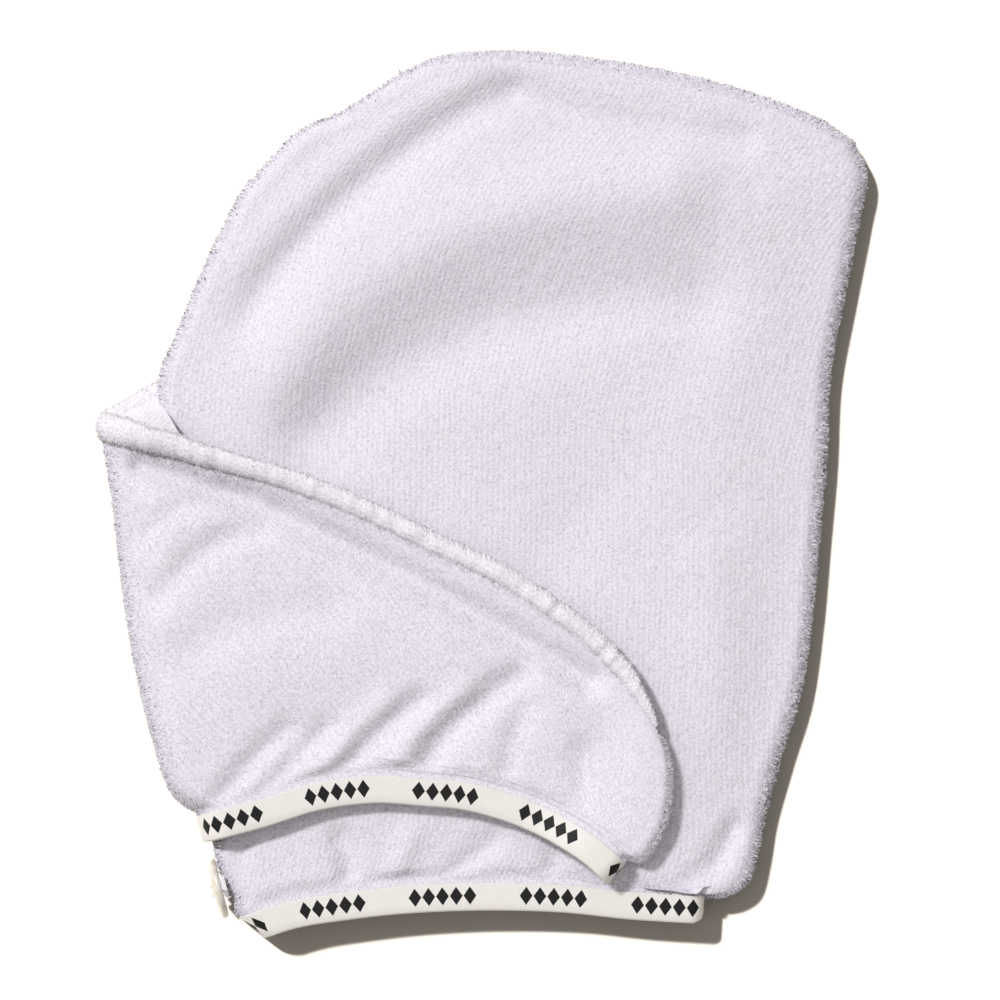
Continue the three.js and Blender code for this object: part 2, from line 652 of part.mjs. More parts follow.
// Rolled hem: follows the flap's upper edge from under the left fold to the right fold
function rolledHem() {
  const row = flapGrid.at(-1);
  const inside = flapGrid.at(-2);
  const normals = frontFlap.normals.at(-1);
  const last = legSteps + turnSteps + flapColumns.length - 3;
  const middles = row.slice(0, last).map((point, i) => (
    point.clone().addScaledVector(normals[i], -clothWall / 2)
  ));
  const endPoint = middles.at(-1);
  const angles = Array.from({ length: hemSides }, (_, k) => (2 * Math.PI * k) / hemSides);
  const rings = middles.map((middle, i) => {
    const path = new THREE.Vector3().subVectors(
      middles[Math.min(i + 1, last - 1)],
      middles[Math.max(i - 1, 0)],
    ).normalize();
    const outward = new THREE.Vector3().subVectors(row[i], inside[i]);
    outward.addScaledVector(path, -outward.dot(path)).normalize();
    const above = new THREE.Vector3().crossVectors(path, outward);
    const size = mix(hemTaper, 1, smooth(middle.distanceTo(endPoint) / hemTaperRun));
    const [halfWidth, halfHeight] = [(hemWidth / 2) * size, (hemHeight / 2) * size];
    const centre = middle.clone().addScaledVector(outward, halfWidth + seamGap);
    centre.z += (halfHeight - clothWall / 2) * Math.abs(above.z);
    centre.z = Math.max(centre.z, halfHeight + seamGap);
    return angles.map((angle) => (
      centre.clone()
        .addScaledVector(outward, halfWidth * Math.cos(angle))
        .addScaledVector(above, halfHeight * Math.sin(angle))
    ));
  });
  const heading = headingLeft(1);
  const reached = rings[0].map((point) => (
    point.clone().addScaledVector(heading, roomToSeam(point, heading, seamGap))
  ));
  const outline = angles.map((angle) => new THREE.Vector2(Math.cos(angle), Math.sin(angle)));
  return loft([reached, ...rings], false, outline);
}

// Solids for cutting and joining
const wasm = await Module();
wasm.setup();

function toSolid(geometry) {
  const bare = geometry.index ? geometry.clone() : geometry;
  bare.deleteAttribute("normal");
  bare.deleteAttribute("uv");
  const merged = mergeVertices(bare, 1e-4);
  return new wasm.Manifold(new wasm.Mesh({
    numProp: 3,
    vertProperties: new Float32Array(merged.attributes.position.array),
    triVerts: new Uint32Array(merged.index.array),
  }));
}

function toGeometry(solid) {
  const mesh = solid.getMesh();
  const geometry = new THREE.BufferGeometry();
  geometry.setAttribute("position", new THREE.BufferAttribute(mesh.vertProperties, 3));
  geometry.setIndex(new THREE.BufferAttribute(mesh.triVerts, 1));
  return geometry;
}

function rod(diameter, low, high, x, y) {
  const geometry = new THREE.CylinderGeometry(diameter / 2, diameter / 2, high - low, threadSides);
  geometry.rotateX(Math.PI / 2);
  return geometry.translate(x, y, (low + high) / 2);
}

// Button, lying in its own frame with its face up and its back at zero
const dishFloor = buttonRim + buttonDome - dishDepth;
const holePlaces = [[1, 1], [-1, 1], [-1, -1], [1, -1]].map(([x, y]) => (
  [(x * holeSpacing) / 2, (y * holeSpacing) / 2]
));

function buttonBody() {
  const radius = buttonDiameter / 2;
  const profile = [
    ...buttonOutline.map(({ out, rim, dome }) => (
      new THREE.Vector2(radius * out, buttonRim * rim + buttonDome * dome)
    )),
    new THREE.Vector2(dishDiameter / 2, buttonRim + buttonDome),
    new THREE.Vector2(dishDiameter / 2 - dishDepth, dishFloor),
    new THREE.Vector2(0, dishFloor),
  ];
  const lathe = new THREE.LatheGeometry(profile, buttonSides).rotateX(Math.PI / 2);
  let solid = toSolid(lathe);
  for (const [x, y] of holePlaces) {
    solid = solid.subtract(toSolid(rod(holeDiameter, -1, buttonRim + buttonDome + 1, x, y)));
  }
  return toGeometry(solid);
}

// Thread: one stitch through each hole, crossed by two bars in front and held by a shank behind
function buttonThread(shankLength) {
  const top = dishFloor + threadGap + threadDiameter;
  const back = -threadGap;
  let solid = toSolid(rod(shankDiameter + holeSpacing, back - threadDiameter, back, 0, 0));
  solid = solid.add(toSolid(rod(shankDiameter, back - shankLength, back - threadDiameter / 2, 0, 0)));
  for (const [x, y] of holePlaces) {
    solid = solid.add(toSolid(rod(threadDiameter, back - threadDiameter / 2, top, x, y)));
  }
  for (const side of [1, -1]) {
    const bar = new THREE.BoxGeometry(holeSpacing + threadDiameter, threadDiameter, threadDiameter);
    bar.translate(0, (side * holeSpacing) / 2, top - threadDiameter / 2);
    solid = solid.add(toSolid(bar));
  }
  return toGeometry(solid);
}

// Elastic loop: a long ring lying inside the left fold, its far side along the hood's seam
function buttonLoop() {
  const side = (loopSlit + loopCord) / 2;
  const straight = loopLength / 2 - side - loopCord / 2;
  const path = Array.from({ length: loopSteps }, (_, k) => {
    const angle = (2 * Math.PI * (k + 0.5)) / loopSteps;
    const end = Math.sign(Math.sin(angle)) * straight;
    return new THREE.Vector3(side * Math.cos(angle), end + side * Math.sin(angle), 0);
  });
  const rings = path.map((point) => {
    const centre = new THREE.Vector3(0, Math.sign(point.y) * straight, 0);
    const outward = new THREE.Vector3().subVectors(point, centre).normalize();
    return Array.from({ length: threadSides }, (_, k) => {
      const angle = (2 * Math.PI * k) / threadSides;
      const ring = point.clone().addScaledVector(outward, (loopCord / 2) * Math.cos(angle));
      return ring.addScaledVector(upward, -(loopCord / 2) * Math.sin(angle));
    });
  });
  return loft(rings, true);
}

// Materials
const terry = new THREE.MeshStandardMaterial({ color: 0xe4e0ea, roughness: 0.95, metalness: 0 });
const elastic = new THREE.MeshStandardMaterial({ color: 0xe6e3de, roughness: 0.55, metalness: 0 });
const pearl = new THREE.MeshStandardMaterial({ color: 0xd8d2c8, roughness: 0.2, metalness: 0 });
const cotton = new THREE.MeshStandardMaterial({ color: 0xeeece8, roughness: 0.8, metalness: 0 });

const turban = new THREE.Group();

function addPiece(name, geometry, material, parent = turban) {
  const mesh = new THREE.Mesh(geometry, material);
  mesh.name = name;
  parent.add(mesh);
  return mesh;
}

addPiece("upper_panel", upperPanel.geometry, terry);
addPiece("under_panel", underPanel.geometry, terry);
addPiece("rim_binding", rimBinding(), elastic);
addPiece("front_flap", frontFlap.geometry, terry);
addPiece("rolled_hem", rolledHem(), terry);
addPiece("flap_binding", flapBinding(), elastic);

// The button stands on its edge against the hood's left seam, its shank reaching the cloth
const lean = THREE.MathUtils.degToRad(buttonLean);
const buttonAxis = buttonHeading.clone().multiplyScalar(Math.cos(lean)).setZ(Math.sin(lean));
const buttonCentre = buttonDiameter / 2 + seamGap;
const shankRise = (buttonCentre - shankDiameter / 2 - seamHeight) / (shoulderHeight - seamHeight);
const clothInset = edgeRound * (1 - Math.sqrt(1 - Math.min(1, shankRise) ** 2));

const fastening = new THREE.Group();
fastening.quaternion.setFromUnitVectors(upward, buttonAxis);
fastening.position.copy(inPlan([buttonPlace.across, buttonPlace.up])).setZ(buttonCentre);
turban.add(fastening);
addPiece("button", buttonBody(), pearl, fastening);
addPiece("button_thread", buttonThread(clothInset + threadGap), cotton, fastening);

const loopAnchor = hoodLeftCurve.getPointAt(loopShare);
const loopHeading = hoodLeftCurve.getTangentAt(loopShare);
const loopTurn = Math.atan2(-loopHeading.x, loopHeading.y);
const loopOffset = layerGap + loopCord + loopSlit / 2;
const loop = addPiece("button_loop", buttonLoop(), elastic);
loop.rotation.z = loopTurn;
loop.position.copy(loopAnchor).setZ(clothWall + seamGap + loopCord / 2);
loop.position.x -= loopOffset * Math.cos(loopTurn);
loop.position.y -= loopOffset * Math.sin(loopTurn);

// Origin: the middle of the towel's footprint, on the surface it lies on
turban.updateMatrixWorld(true);
const box = new THREE.Box3().setFromObject(turban, true);
const middle = box.getCenter(new THREE.Vector3());
turban.position.set(-middle.x, -middle.y, -box.min.z);

export default turban;
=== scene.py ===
import math

import bpy
import numpy as np
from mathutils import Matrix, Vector, noise


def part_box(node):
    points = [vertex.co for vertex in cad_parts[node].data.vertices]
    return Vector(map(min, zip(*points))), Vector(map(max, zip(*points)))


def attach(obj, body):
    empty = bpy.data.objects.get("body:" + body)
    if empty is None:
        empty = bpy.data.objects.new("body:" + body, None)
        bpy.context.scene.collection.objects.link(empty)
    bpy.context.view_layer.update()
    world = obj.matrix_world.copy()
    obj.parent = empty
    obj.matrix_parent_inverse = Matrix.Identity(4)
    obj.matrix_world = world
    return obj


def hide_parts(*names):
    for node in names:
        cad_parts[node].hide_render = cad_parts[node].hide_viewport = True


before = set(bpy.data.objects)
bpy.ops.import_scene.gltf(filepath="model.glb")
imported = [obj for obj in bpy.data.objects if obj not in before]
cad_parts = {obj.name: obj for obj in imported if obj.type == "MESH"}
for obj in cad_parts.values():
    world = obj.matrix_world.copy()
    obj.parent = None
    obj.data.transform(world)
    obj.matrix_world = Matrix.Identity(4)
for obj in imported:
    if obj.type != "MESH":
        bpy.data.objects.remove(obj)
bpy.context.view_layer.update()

print("towel: frame loaded")

mm = 0.001
tiny = 1e-6
chance = np.random.default_rng(11)

# Folded outline and cloth, the same sizes as the solids, in millimetres
towel = {
    "width": 278,
    "length": 319,
    "wall": 3,
    "hemmedWall": 1.2,
    "seamGap": 0.3,
    "layerGap": 0.9,
    "foldRise": 2.8,
    "foldSpread": 9,
    "gatherRise": 3.0,
    "gatherSpread": 5,
    "puffRise": 1.1,
    "puffRun": 5,
}
band = {
    "width": 10,
    "wall": 1,
    "slack": 0.3,
    "lead": 1.8,
    "rimRows": 7,
    "faceShift": 20,  # sets the noise of its two faces apart
    "sharpAngle": 40,
    "foldSteps": 9,
    "foldRound": 0.75,  # how much of its wall the fold's edge is round by
    "cutRound": 0.2,
    "stations": (0.25, 0.6),  # shares of its depth with points of their own
}
bandReach = band["width"] - band["wall"] - band["slack"]
slotDepth = bandReach + band["lead"]


def smooth(share):
    share = np.clip(share, 0, 1)
    return share * share * (3 - 2 * share)


def roundOver(share):
    return np.sqrt(1 - (1 - np.clip(share, 0, 1)) ** 2)


def mix(one, two, share):
    return one + (two - one) * share


def inPlan(shares):
    return np.array(shares, float) * (towel["width"], towel["length"])


def unit(vectors):
    vectors = np.asarray(vectors, float)
    return vectors / np.maximum(np.linalg.norm(vectors, axis=-1, keepdims=True), tiny)


def evenly(count):
    return np.linspace(0, 1, count)


def roundTurns(count):
    return np.linspace(0, 2 * math.pi, count, endpoint=False)


def easedShares(count, ease):
    # even shares from 0 to 1, drawn towards both ends
    even = evenly(count)
    return mix(even, 0.5 - 0.5 * np.cos(np.pi * even), ease)


class Curve:
    # a smooth line through points, read by its share of length
    def __init__(self, points, steps=40):
        points = np.array(points, float)
        ends = np.vstack([2 * points[0] - points[1], points, 2 * points[-1] - points[-2]])
        a, b, c, d = ends[:-3], ends[1:-2], ends[2:-1], ends[3:]
        ab, bc, cd = self.span(a, b), self.span(b, c), self.span(c, d)
        leave = ((b - a) / ab - (c - a) / (ab + bc) + (c - b) / bc) * bc
        arrive = ((c - b) / bc - (d - b) / (bc + cd) + (d - c) / cd) * bc
        t = np.linspace(0, 1, steps, endpoint=False)[None, :, None]
        b, c, leave, arrive = b[:, None], c[:, None], leave[:, None], arrive[:, None]
        line = b + leave * t + (3 * (c - b) - 2 * leave - arrive) * t**2
        line = line + (2 * (b - c) + leave + arrive) * t**3
        self.line = np.vstack([line.reshape(-1, points.shape[1]), points[-1:]])
        steps = np.linalg.norm(np.diff(self.line, axis=0), axis=1)
        self.reach = np.concatenate([[0], np.cumsum(steps)])

    def span(self, one, two):
        return np.sqrt(np.maximum(np.linalg.norm(two - one, axis=1, keepdims=True), tiny))

    def at(self, share):
        far = np.asarray(share, float) * self.reach[-1]
        return np.stack([np.interp(far, self.reach, axis) for axis in self.line.T], -1)

    def heading(self, share):
        share = np.asarray(share, float)
        ahead, behind = np.minimum(share + 1e-3, 1), np.maximum(share - 1e-3, 0)
        return unit(self.at(ahead) - self.at(behind))


def planDistance(points, line):
    # shortest way in plan from each point to a line of points
    nearest = np.full(points.shape[:-1], np.inf)
    for start, end in zip(line[:-1], line[1:]):
        way = end - start
        along = ((points - start) @ way) / max(way @ way, tiny)
        gap = points - start - np.clip(along, 0, 1)[..., None] * way
        nearest = np.minimum(nearest, (gap**2).sum(-1))
    return np.sqrt(nearest)


def foldsAt(points, folds, rise, spread):
    # height that a table of folds adds: start, bend, end, share of rise, share of spread
    height = np.zeros(points.shape[:-1])
    steps, farthest = 14, 4  # points along a fold, and how many spreads away it still counts
    t = evenly(steps)[:, None]
    for start, bend, end, riseShare, spreadShare in folds:
        start, bend, end = inPlan(start), inPlan(bend), inPlan(end)
        line = (1 - t) ** 2 * start + 2 * t * (1 - t) * bend + t**2 * end
        reach = spread * spreadShare
        middle = line.mean(0)
        limit = np.abs(line - middle).max() + farthest * reach
        near = np.abs(points - middle).max(-1) < limit
        away = planDistance(points[near], line) / reach
        height[near] += rise * riseShare * np.exp(-away * away)
    return height


class Rim:
    # a sheet's rim and the straight stretch behind it that a binding covers
    def __init__(self, table, slantLeft=0, slantRun=0.12, corner=0):
        self.curve = Curve(inPlan(table))
        self.slant, self.slantRun, self.corner = math.radians(slantLeft), slantRun, corner

    def into(self, share):
        slant = self.slant * (1 - smooth(share / self.slantRun))
        way = self.curve.heading(share)
        left = np.stack([-way[..., 1], way[..., 0]], -1)
        turned = left * np.cos(slant)[..., None] - way * np.sin(slant)[..., None]
        return turned * (slotDepth / np.cos(slant))[..., None]

    def inner(self, share):
        return self.curve.at(share) + self.into(share)

    def edge(self, share):
        # its right end is cut round
        past = np.clip(self.corner - (1 - share) * self.curve.reach[-1], 0, self.corner)
        cut = self.corner - np.sqrt(self.corner**2 - past**2)
        return self.curve.at(share) + self.into(share) * (cut / slotDepth)[..., None]


def patchPoints(bottom, top, left, right, u, v):
    # a patch between four edge curves
    u, v = u[None, :, None], v[:, None, None]
    across = bottom(u[0, :, 0])[None] * (1 - v) + top(u[0, :, 0])[None] * v
    upwards = left(v[:, 0, 0])[:, None] * (1 - u) + right(v[:, 0, 0])[:, None] * u
    corners = (bottom(0) * (1 - u) + bottom(1) * u) * (1 - v) + (top(0) * (1 - u) + top(1) * u) * v
    return across + upwards - corners


def sheetPlan(rim, top, left, right, u, v):
    # a patch, with the straight lines that its binding covers in front of it
    patch = patchPoints(rim.inner, top.at, left.at, right.at, u, v)
    back = np.linspace(0, 1, band["rimRows"], endpoint=False)[:, None, None]
    return np.concatenate([mix(rim.edge(u)[None], rim.inner(u)[None], back), patch])


def withHeight(plan, height):
    return np.concatenate([plan, np.broadcast_to(height, plan.shape[:-1])[..., None]], -1)


def gridNormals(grid, facing, closed):
    along, across = np.gradient(grid, axis=0), np.gradient(grid, axis=1)
    normals = unit(np.cross(across, along)) * facing
    if closed:
        for side in (np.s_[:, 0], np.s_[:, -1], np.s_[-1, :]):
            level = normals[side].copy()
            level[..., 2] = 0
            normals[side] = unit(level)
    return normals


# Outlines: shares of the folded width and length, from the lower left
hoodRim = [
    (0.22, 0.003), (0.267, 0.015), (0.325, 0.023), (0.396, 0.03),
    (0.496, 0.034), (0.604, 0.032), (0.694, 0.024), (0.785, 0.019),
]
hoodLeft = [
    (0.184, 0.037), (0.173, 0.056), (0.163, 0.078), (0.158, 0.096), (0.161, 0.112),
    (0.16, 0.138), (0.145, 0.188), (0.119, 0.267), (0.098, 0.38), (0.087, 0.493),
    (0.083, 0.572), (0.085, 0.631), (0.109, 0.683), (0.141, 0.751), (0.166, 0.798),
    (0.192, 0.841), (0.231, 0.879), (0.269, 0.911), (0.319, 0.93), (0.399, 0.974),
]
hoodRight = [
    (0.843, 0.059), (0.859, 0.098), (0.869, 0.141), (0.891, 0.209),
    (0.915, 0.277), (0.93, 0.367), (0.939, 0.457), (0.948, 0.547), (0.953, 0.638),
    (0.972, 0.728), (0.992, 0.818), (1, 0.863), (0.982, 0.898),
]
hoodTop = [
    (0.399, 0.974), (0.448, 0.993), (0.5, 0.998), (0.552, 0.999), (0.655, 0.99),
    (0.759, 0.974), (0.863, 0.949), (0.94, 0.922), (0.982, 0.898),
]
flapRim = [
    (0.144, 0.111), (0.222, 0.129), (0.293, 0.148), (0.365, 0.156), (0.422, 0.153),
    (0.487, 0.147), (0.565, 0.125), (0.63, 0.093), (0.665, 0.067),
]
flapLeft = [
    (0.121, 0.148), (0.101, 0.164), (0.08, 0.217), (0.062, 0.277), (0.047, 0.344),
    (0.036, 0.412), (0.026, 0.488), (0.014, 0.559),
]
flapRight = [
    (0.71, 0.089), (0.727, 0.107), (0.74, 0.132), (0.746, 0.172), (0.744, 0.2), (0.736, 0.222),
]
flapTop = [
    (0.014, 0.559), (0.06, 0.551), (0.097, 0.543), (0.159, 0.528), (0.229, 0.512),
    (0.306, 0.489), (0.396, 0.454), (0.439, 0.435), (0.512, 0.406), (0.584, 0.367),
    (0.642, 0.328), (0.681, 0.292), (0.709, 0.26), (0.736, 0.222),
]

# Folds: start, bend, end, then rise and spread as shares of a common fold
hoodFolds = [
    ((0.19, 0.76), (0.32, 0.89), (0.48, 0.965), 0.5, 0.8),
    ((0.2, 0.7), (0.32, 0.86), (0.53, 0.95), -1, 0.8),
    ((0.25, 0.64), (0.38, 0.83), (0.74, 0.84), 1.6, 1.8),
    ((0.28, 0.56), (0.44, 0.72), (0.78, 0.72), -1.3, 1.6),
    ((0.77, 0.68), (0.68, 0.55), (0.58, 0.42), -0.3, 1.6),
    ((0.55, 0.95), (0.68, 0.91), (0.84, 0.9), -0.7, 0.7),
    ((0.8, 0.2), (0.82, 0.3), (0.8, 0.42), 0.3, 1.2),
    ((0.1, 0.52), (0.32, 0.465), (0.6, 0.305), -0.6, 0.9),
]
hoodGathers = [
    ((0.17, 0.04), (0.185, 0.075), (0.19, 0.11), -0.6, 0.8),
    ((0.325, 0.05), (0.34, 0.075), (0.32, 0.11), -0.8, 0.9),
    ((0.46, 0.06), (0.47, 0.08), (0.52, 0.11), -0.6, 0.9),
    ((0.59, 0.06), (0.595, 0.09), (0.6, 0.12), -0.5, 0.8),
    ((0.765, 0.045), (0.8, 0.07), (0.83, 0.12), -0.9, 1),
    ((0.39, 0.06), (0.395, 0.08), (0.41, 0.11), 0.5, 1),
]
flapGathers = [
    ((0.32, 0.18), (0.36, 0.24), (0.42, 0.265), -1, 1),
    ((0.435, 0.2), (0.46, 0.25), (0.55, 0.295), -1, 1.1),
    ((0.165, 0.155), (0.19, 0.19), (0.25, 0.235), -0.7, 0.9),
    ((0.23, 0.165), (0.255, 0.2), (0.3, 0.235), -0.6, 0.9),
    ((0.535, 0.19), (0.54, 0.22), (0.56, 0.26), -0.5, 0.9),
    ((0.285, 0.17), (0.32, 0.215), (0.38, 0.26), 0.6, 1),
    ((0.39, 0.19), (0.41, 0.235), (0.48, 0.275), 0.6, 1),
    ((0.62, 0.13), (0.64, 0.17), (0.63, 0.21), -0.4, 0.9),
]
flapFolds = [
    ((0.06, 0.53), (0.3, 0.475), (0.64, 0.29), -1.7, 0.6),
    ((0.06, 0.535), (0.14, 0.515), (0.24, 0.485), -0.35, 0.6),
    ((0.055, 0.445), (0.11, 0.5), (0.2, 0.502), -0.5, 0.5),
    ((0.085, 0.385), (0.15, 0.455), (0.215, 0.459), -0.6, 0.55),
    ((0.1, 0.31), (0.19, 0.37), (0.3, 0.37), -0.45, 0.9),
    ((0.2, 0.3), (0.4, 0.4), (0.6, 0.27), 0.5, 2),
]


class Socket:
    # one socket of a finish's nodes, so that maths on it reads as plain Python
    def __init__(self, finish, socket):
        self.finish, self.socket = finish, socket

    def maths(self, operation, *values):
        inputs = dict(enumerate(values))
        return self.finish.node("ShaderNodeMath", {"operation": operation}, inputs, "Value")

    __add__ = lambda self, other: self.maths("ADD", self, other)
    __radd__ = lambda self, other: self.maths("ADD", other, self)
    __sub__ = lambda self, other: self.maths("SUBTRACT", self, other)
    __rsub__ = lambda self, other: self.maths("SUBTRACT", other, self)
    __mul__ = lambda self, other: self.maths("MULTIPLY", self, other)
    __rmul__ = lambda self, other: self.maths("MULTIPLY", other, self)
    __truediv__ = lambda self, other: self.maths("DIVIDE", self, other)
    __rtruediv__ = lambda self, other: self.maths("DIVIDE", other, self)
    __lt__ = lambda self, other: self.maths("LESS_THAN", self, other)
    __abs__ = lambda self: self.maths("ABSOLUTE", self)
    wave = lambda self: self.maths("SINE", self)
    fraction = lambda self: self.maths("FRACT", self)


class Finish:
    # a material with one Principled shader, fed by its node method
    def __init__(self, name, shader):
        self.material = bpy.data.materials.new(name)
        self.material.use_nodes = True
        self.tree = self.material.node_tree
        self.shader = self.tree.nodes["Principled BSDF"]
        for socket, value in shader.items():
            self.shader.inputs[socket].default_value = value

    def node(self, kind, settings, inputs, output):
        made = self.tree.nodes.new(kind)
        for setting, value in settings.items():
            if setting == "stops":
                self.setStops(made.color_ramp, value)
            else:
                setattr(made, setting, value)
        for socket, value in inputs.items():
            if isinstance(value, Socket):
                self.tree.links.new(value.socket, made.inputs[socket])
            else:
                made.inputs[socket].default_value = value
        return Socket(self, made.outputs[output])

    def setStops(self, ramp, stops):
        while len(ramp.elements) < len(stops):
            ramp.elements.new(0.5)
        for element, (place, colour) in zip(ramp.elements, stops):
            element.position, element.color = place, (*colour, 1)

    def feed(self, socket, value):
        self.tree.links.new(value.socket, self.shader.inputs[socket])

    def attribute(self, name, output="Vector"):
        return self.node("ShaderNodeAttribute", {"attribute_name": name}, {}, output)

    def split(self, vector, axis):
        return self.node("ShaderNodeSeparateXYZ", {}, {0: vector}, axis)

    def noise(self, where, size, detail=2.0, output="Fac"):
        inputs = {"Vector": where, "Scale": 1 / size, "Detail": detail}
        return self.node("ShaderNodeTexNoise", {}, inputs, output)

    def blend(self, share, one, two):
        settings = {"data_type": "RGBA", "clamp_factor": True}
        return self.node("ShaderNodeMix", settings, {0: share, 6: one, 7: two}, 2)

    def bump(self, height, depth, strength=1.0):
        inputs = {"Height": height, "Distance": depth, "Strength": strength}
        self.feed("Normal", self.node("ShaderNodeBump", {}, inputs, "Normal"))


terryLook = {
    "loopSize": 0.85,  # millimetres
    "grainSize": 0.42,
    "patchSize": 14,
    "waleSize": 2.0,
    "waleDrift": 1.5,
    "specular": 0.05,
    # one white terry: the flap and the hem are lighter copies of the hood's colour, painted light
    "hood": (0.79, 0.765, 0.84, 1),
    "flap": (0.81, 0.785, 0.855, 1),
    "hem": (0.87, 0.85, 0.895, 1),
    # painted shade: the colour that the terry darkens towards between its loops
    "gap": (0.54, 0.52, 0.59, 1),
    "warm": (0.82, 0.785, 0.80, 1),
    "randomness": 0.9,
    "patches": (0.42, 0.5),  # from where and how strongly its warm patches show
    "bumpDepth": 0.3,
    "bump": 0.9,
    "relief": (0.55, 0.3, 0.25),  # how much loops, grain and wales stand out
    "shading": (0.8, 2.0, 0.22, 0.1),  # how much each darkens, and what that starts from
}


def terryFinish(name, colour, waleTurn, bumped=True):
    # looped terry: packed loops, fine grain, faint wales that run with the cloth; its colour is painted
    # darker towards the gap colour between the loops and between the wales, painted shade, with random
    # grain mixed in
    look = terryLook
    finish = Finish(name, {"Roughness": 1.0, "Specular IOR Level": look["specular"]})
    cloth = finish.attribute("cloth")
    loops = finish.node(
        "ShaderNodeTexVoronoi",
        {"voronoi_dimensions": "3D", "feature": "F1"},
        {"Vector": cloth, "Scale": 1 / look["loopSize"], "Randomness": look["randomness"]},
        "Distance",
    )
    grain = finish.noise(cloth, look["grainSize"], 3)
    patches = finish.noise(cloth, look["patchSize"], 3)
    x, y = finish.split(cloth, "X"), finish.split(cloth, "Y")
    turned = x * math.cos(waleTurn) + y * math.sin(waleTurn) + patches * look["waleDrift"]
    wales = (turned * (2 * math.pi / look["waleSize"])).wave() * 0.5 + 0.5
    byLoops, byGrain, byWales = look["relief"]
    height = (1 - loops) * byLoops + grain * byGrain + wales * byWales
    byLoops, byGrain, byWales, least = look["shading"]
    # painted shade: darker between the loops and between the wales, with random grain
    shade = loops * byLoops + (0.5 - grain) * byGrain - wales * byWales - least
    start, strength = look["patches"]
    colour = finish.blend((patches - start) * strength, colour, look["warm"])
    finish.feed("Base Color", finish.blend(shade, colour, look["gap"]))
    if bumped:
        finish.bump(height, look["bumpDepth"] * mm, look["bump"])
    return finish.material


bandLook = {
    "ivory": (0.80, 0.775, 0.75, 1),
    "warm": (0.75, 0.715, 0.675, 1),
    "ink": (0.006, 0.006, 0.007, 1),
    "repeat": 40.4,  # millimetres from group to group
    "groupHalf": 12.5,
    "lozenge": 5.0,  # from lozenge to lozenge
    "lozengeHalf": (2.35, 3.3),
    "printMiddle": 4.3,  # from the tape's cut edge
    "ribSize": 0.55,
    "cloudSize": 6.0,
    "grainSize": 0.5,
    "clouds": (0.4, 1.2),
    "inkUneven": 0.12,
    "roughness": (0.42, 0.2),  # least, and what the grain adds
    "relief": (0.35, 0.4),  # of its ribs and of its grain
    "bumpDepth": 0.12,
    "bump": 0.6,
    "specular": 0.25,
}


def bandFinish(name, printed, start=0.0):
    # satin folded elastic with fine cross ribs, and groups of plain black lozenges
    look = bandLook
    finish = Finish(name, {"Specular IOR Level": look["specular"]})
    cloth = finish.attribute("cloth")
    along, across = finish.split(cloth, "X"), finish.split(cloth, "Y")
    cloud = finish.noise(cloth, look["cloudSize"], 3)
    grain = finish.noise(cloth, look["grainSize"], 3)
    ribs = (along * (2 * math.pi / look["ribSize"])).wave() * 0.5 + 0.5
    cloudStart, cloudStrength = look["clouds"]
    colour = finish.blend((cloud - cloudStart) * cloudStrength, look["ivory"], look["warm"])
    if printed:
        place = ((along - start) / look["repeat"]).fraction() * look["repeat"] - look["repeat"] / 2
        inGroup = abs(place) < look["groupHalf"]
        step = (place / look["lozenge"] + 0.5).fraction() * look["lozenge"] - look["lozenge"] / 2
        halfLong, halfTall = look["lozengeHalf"]
        lozenge = abs(step) / halfLong + abs(across - look["printMiddle"]) / halfTall
        printMask = inGroup * (lozenge + (grain - 0.5) * look["inkUneven"] < 1)
        colour = finish.blend(printMask, colour, look["ink"])
    finish.feed("Base Color", colour)
    least, added = look["roughness"]
    finish.feed("Roughness", least + grain * added)
    byRibs, byGrain = look["relief"]
    finish.bump(ribs * byRibs + grain * byGrain, look["bumpDepth"] * mm, look["bump"])
    return finish.material


pearlLook = {
    "shader": {
        "Roughness": 0.28,
        "Coat Weight": 0.8,
        "Coat Roughness": 0.08,
        "Subsurface Weight": 0.1,
        "Subsurface Radius": (0.002, 0.002, 0.002),
        "Subsurface Scale": 1.0,
    },
    "cloudSize": 7.0,
    "colours": [
        (0.3, (0.45, 0.43, 0.42)),
        (0.42, (0.64, 0.60, 0.55)),
        (0.52, (0.72, 0.69, 0.65)),
        (0.62, (0.62, 0.54, 0.42)),
        (0.75, (0.70, 0.68, 0.67)),
    ],
}


def pearlFinish():
    # pearly button: clouded cream with a faint warm and cool play under a clear coat
    finish = Finish("pearl", pearlLook["shader"])
    cloth = finish.attribute("cloth")
    cloud = finish.noise(cloth, pearlLook["cloudSize"], 1)
    settings = {"stops": pearlLook["colours"]}
    pearl = finish.node("ShaderNodeValToRGB", settings, {"Fac": cloud}, "Color")
    finish.feed("Base Color", pearl)
    return finish.material


threadLook = {
    "shader": {"Roughness": 0.7, "Sheen Weight": 0.3},
    "twistSize": 0.35,
    "dim": (0.84, 0.83, 0.86, 1),
    "bright": (0.95, 0.94, 0.96, 1),
    "brightening": (0.35, 1.6),
    "bumpDepth": 0.12,
}


def threadFinish():
    # twisted white sewing thread
    look = threadLook
    finish = Finish("cotton", look["shader"])
    place = finish.node("ShaderNodeTexCoord", {}, {}, "Object")
    twist = finish.noise(place, look["twistSize"] * mm, 2)
    start, strength = look["brightening"]
    colour = finish.blend((twist - start) * strength, look["dim"], look["bright"])
    finish.feed("Base Color", colour)
    finish.bump(twist, look["bumpDepth"] * mm)
    return finish.material
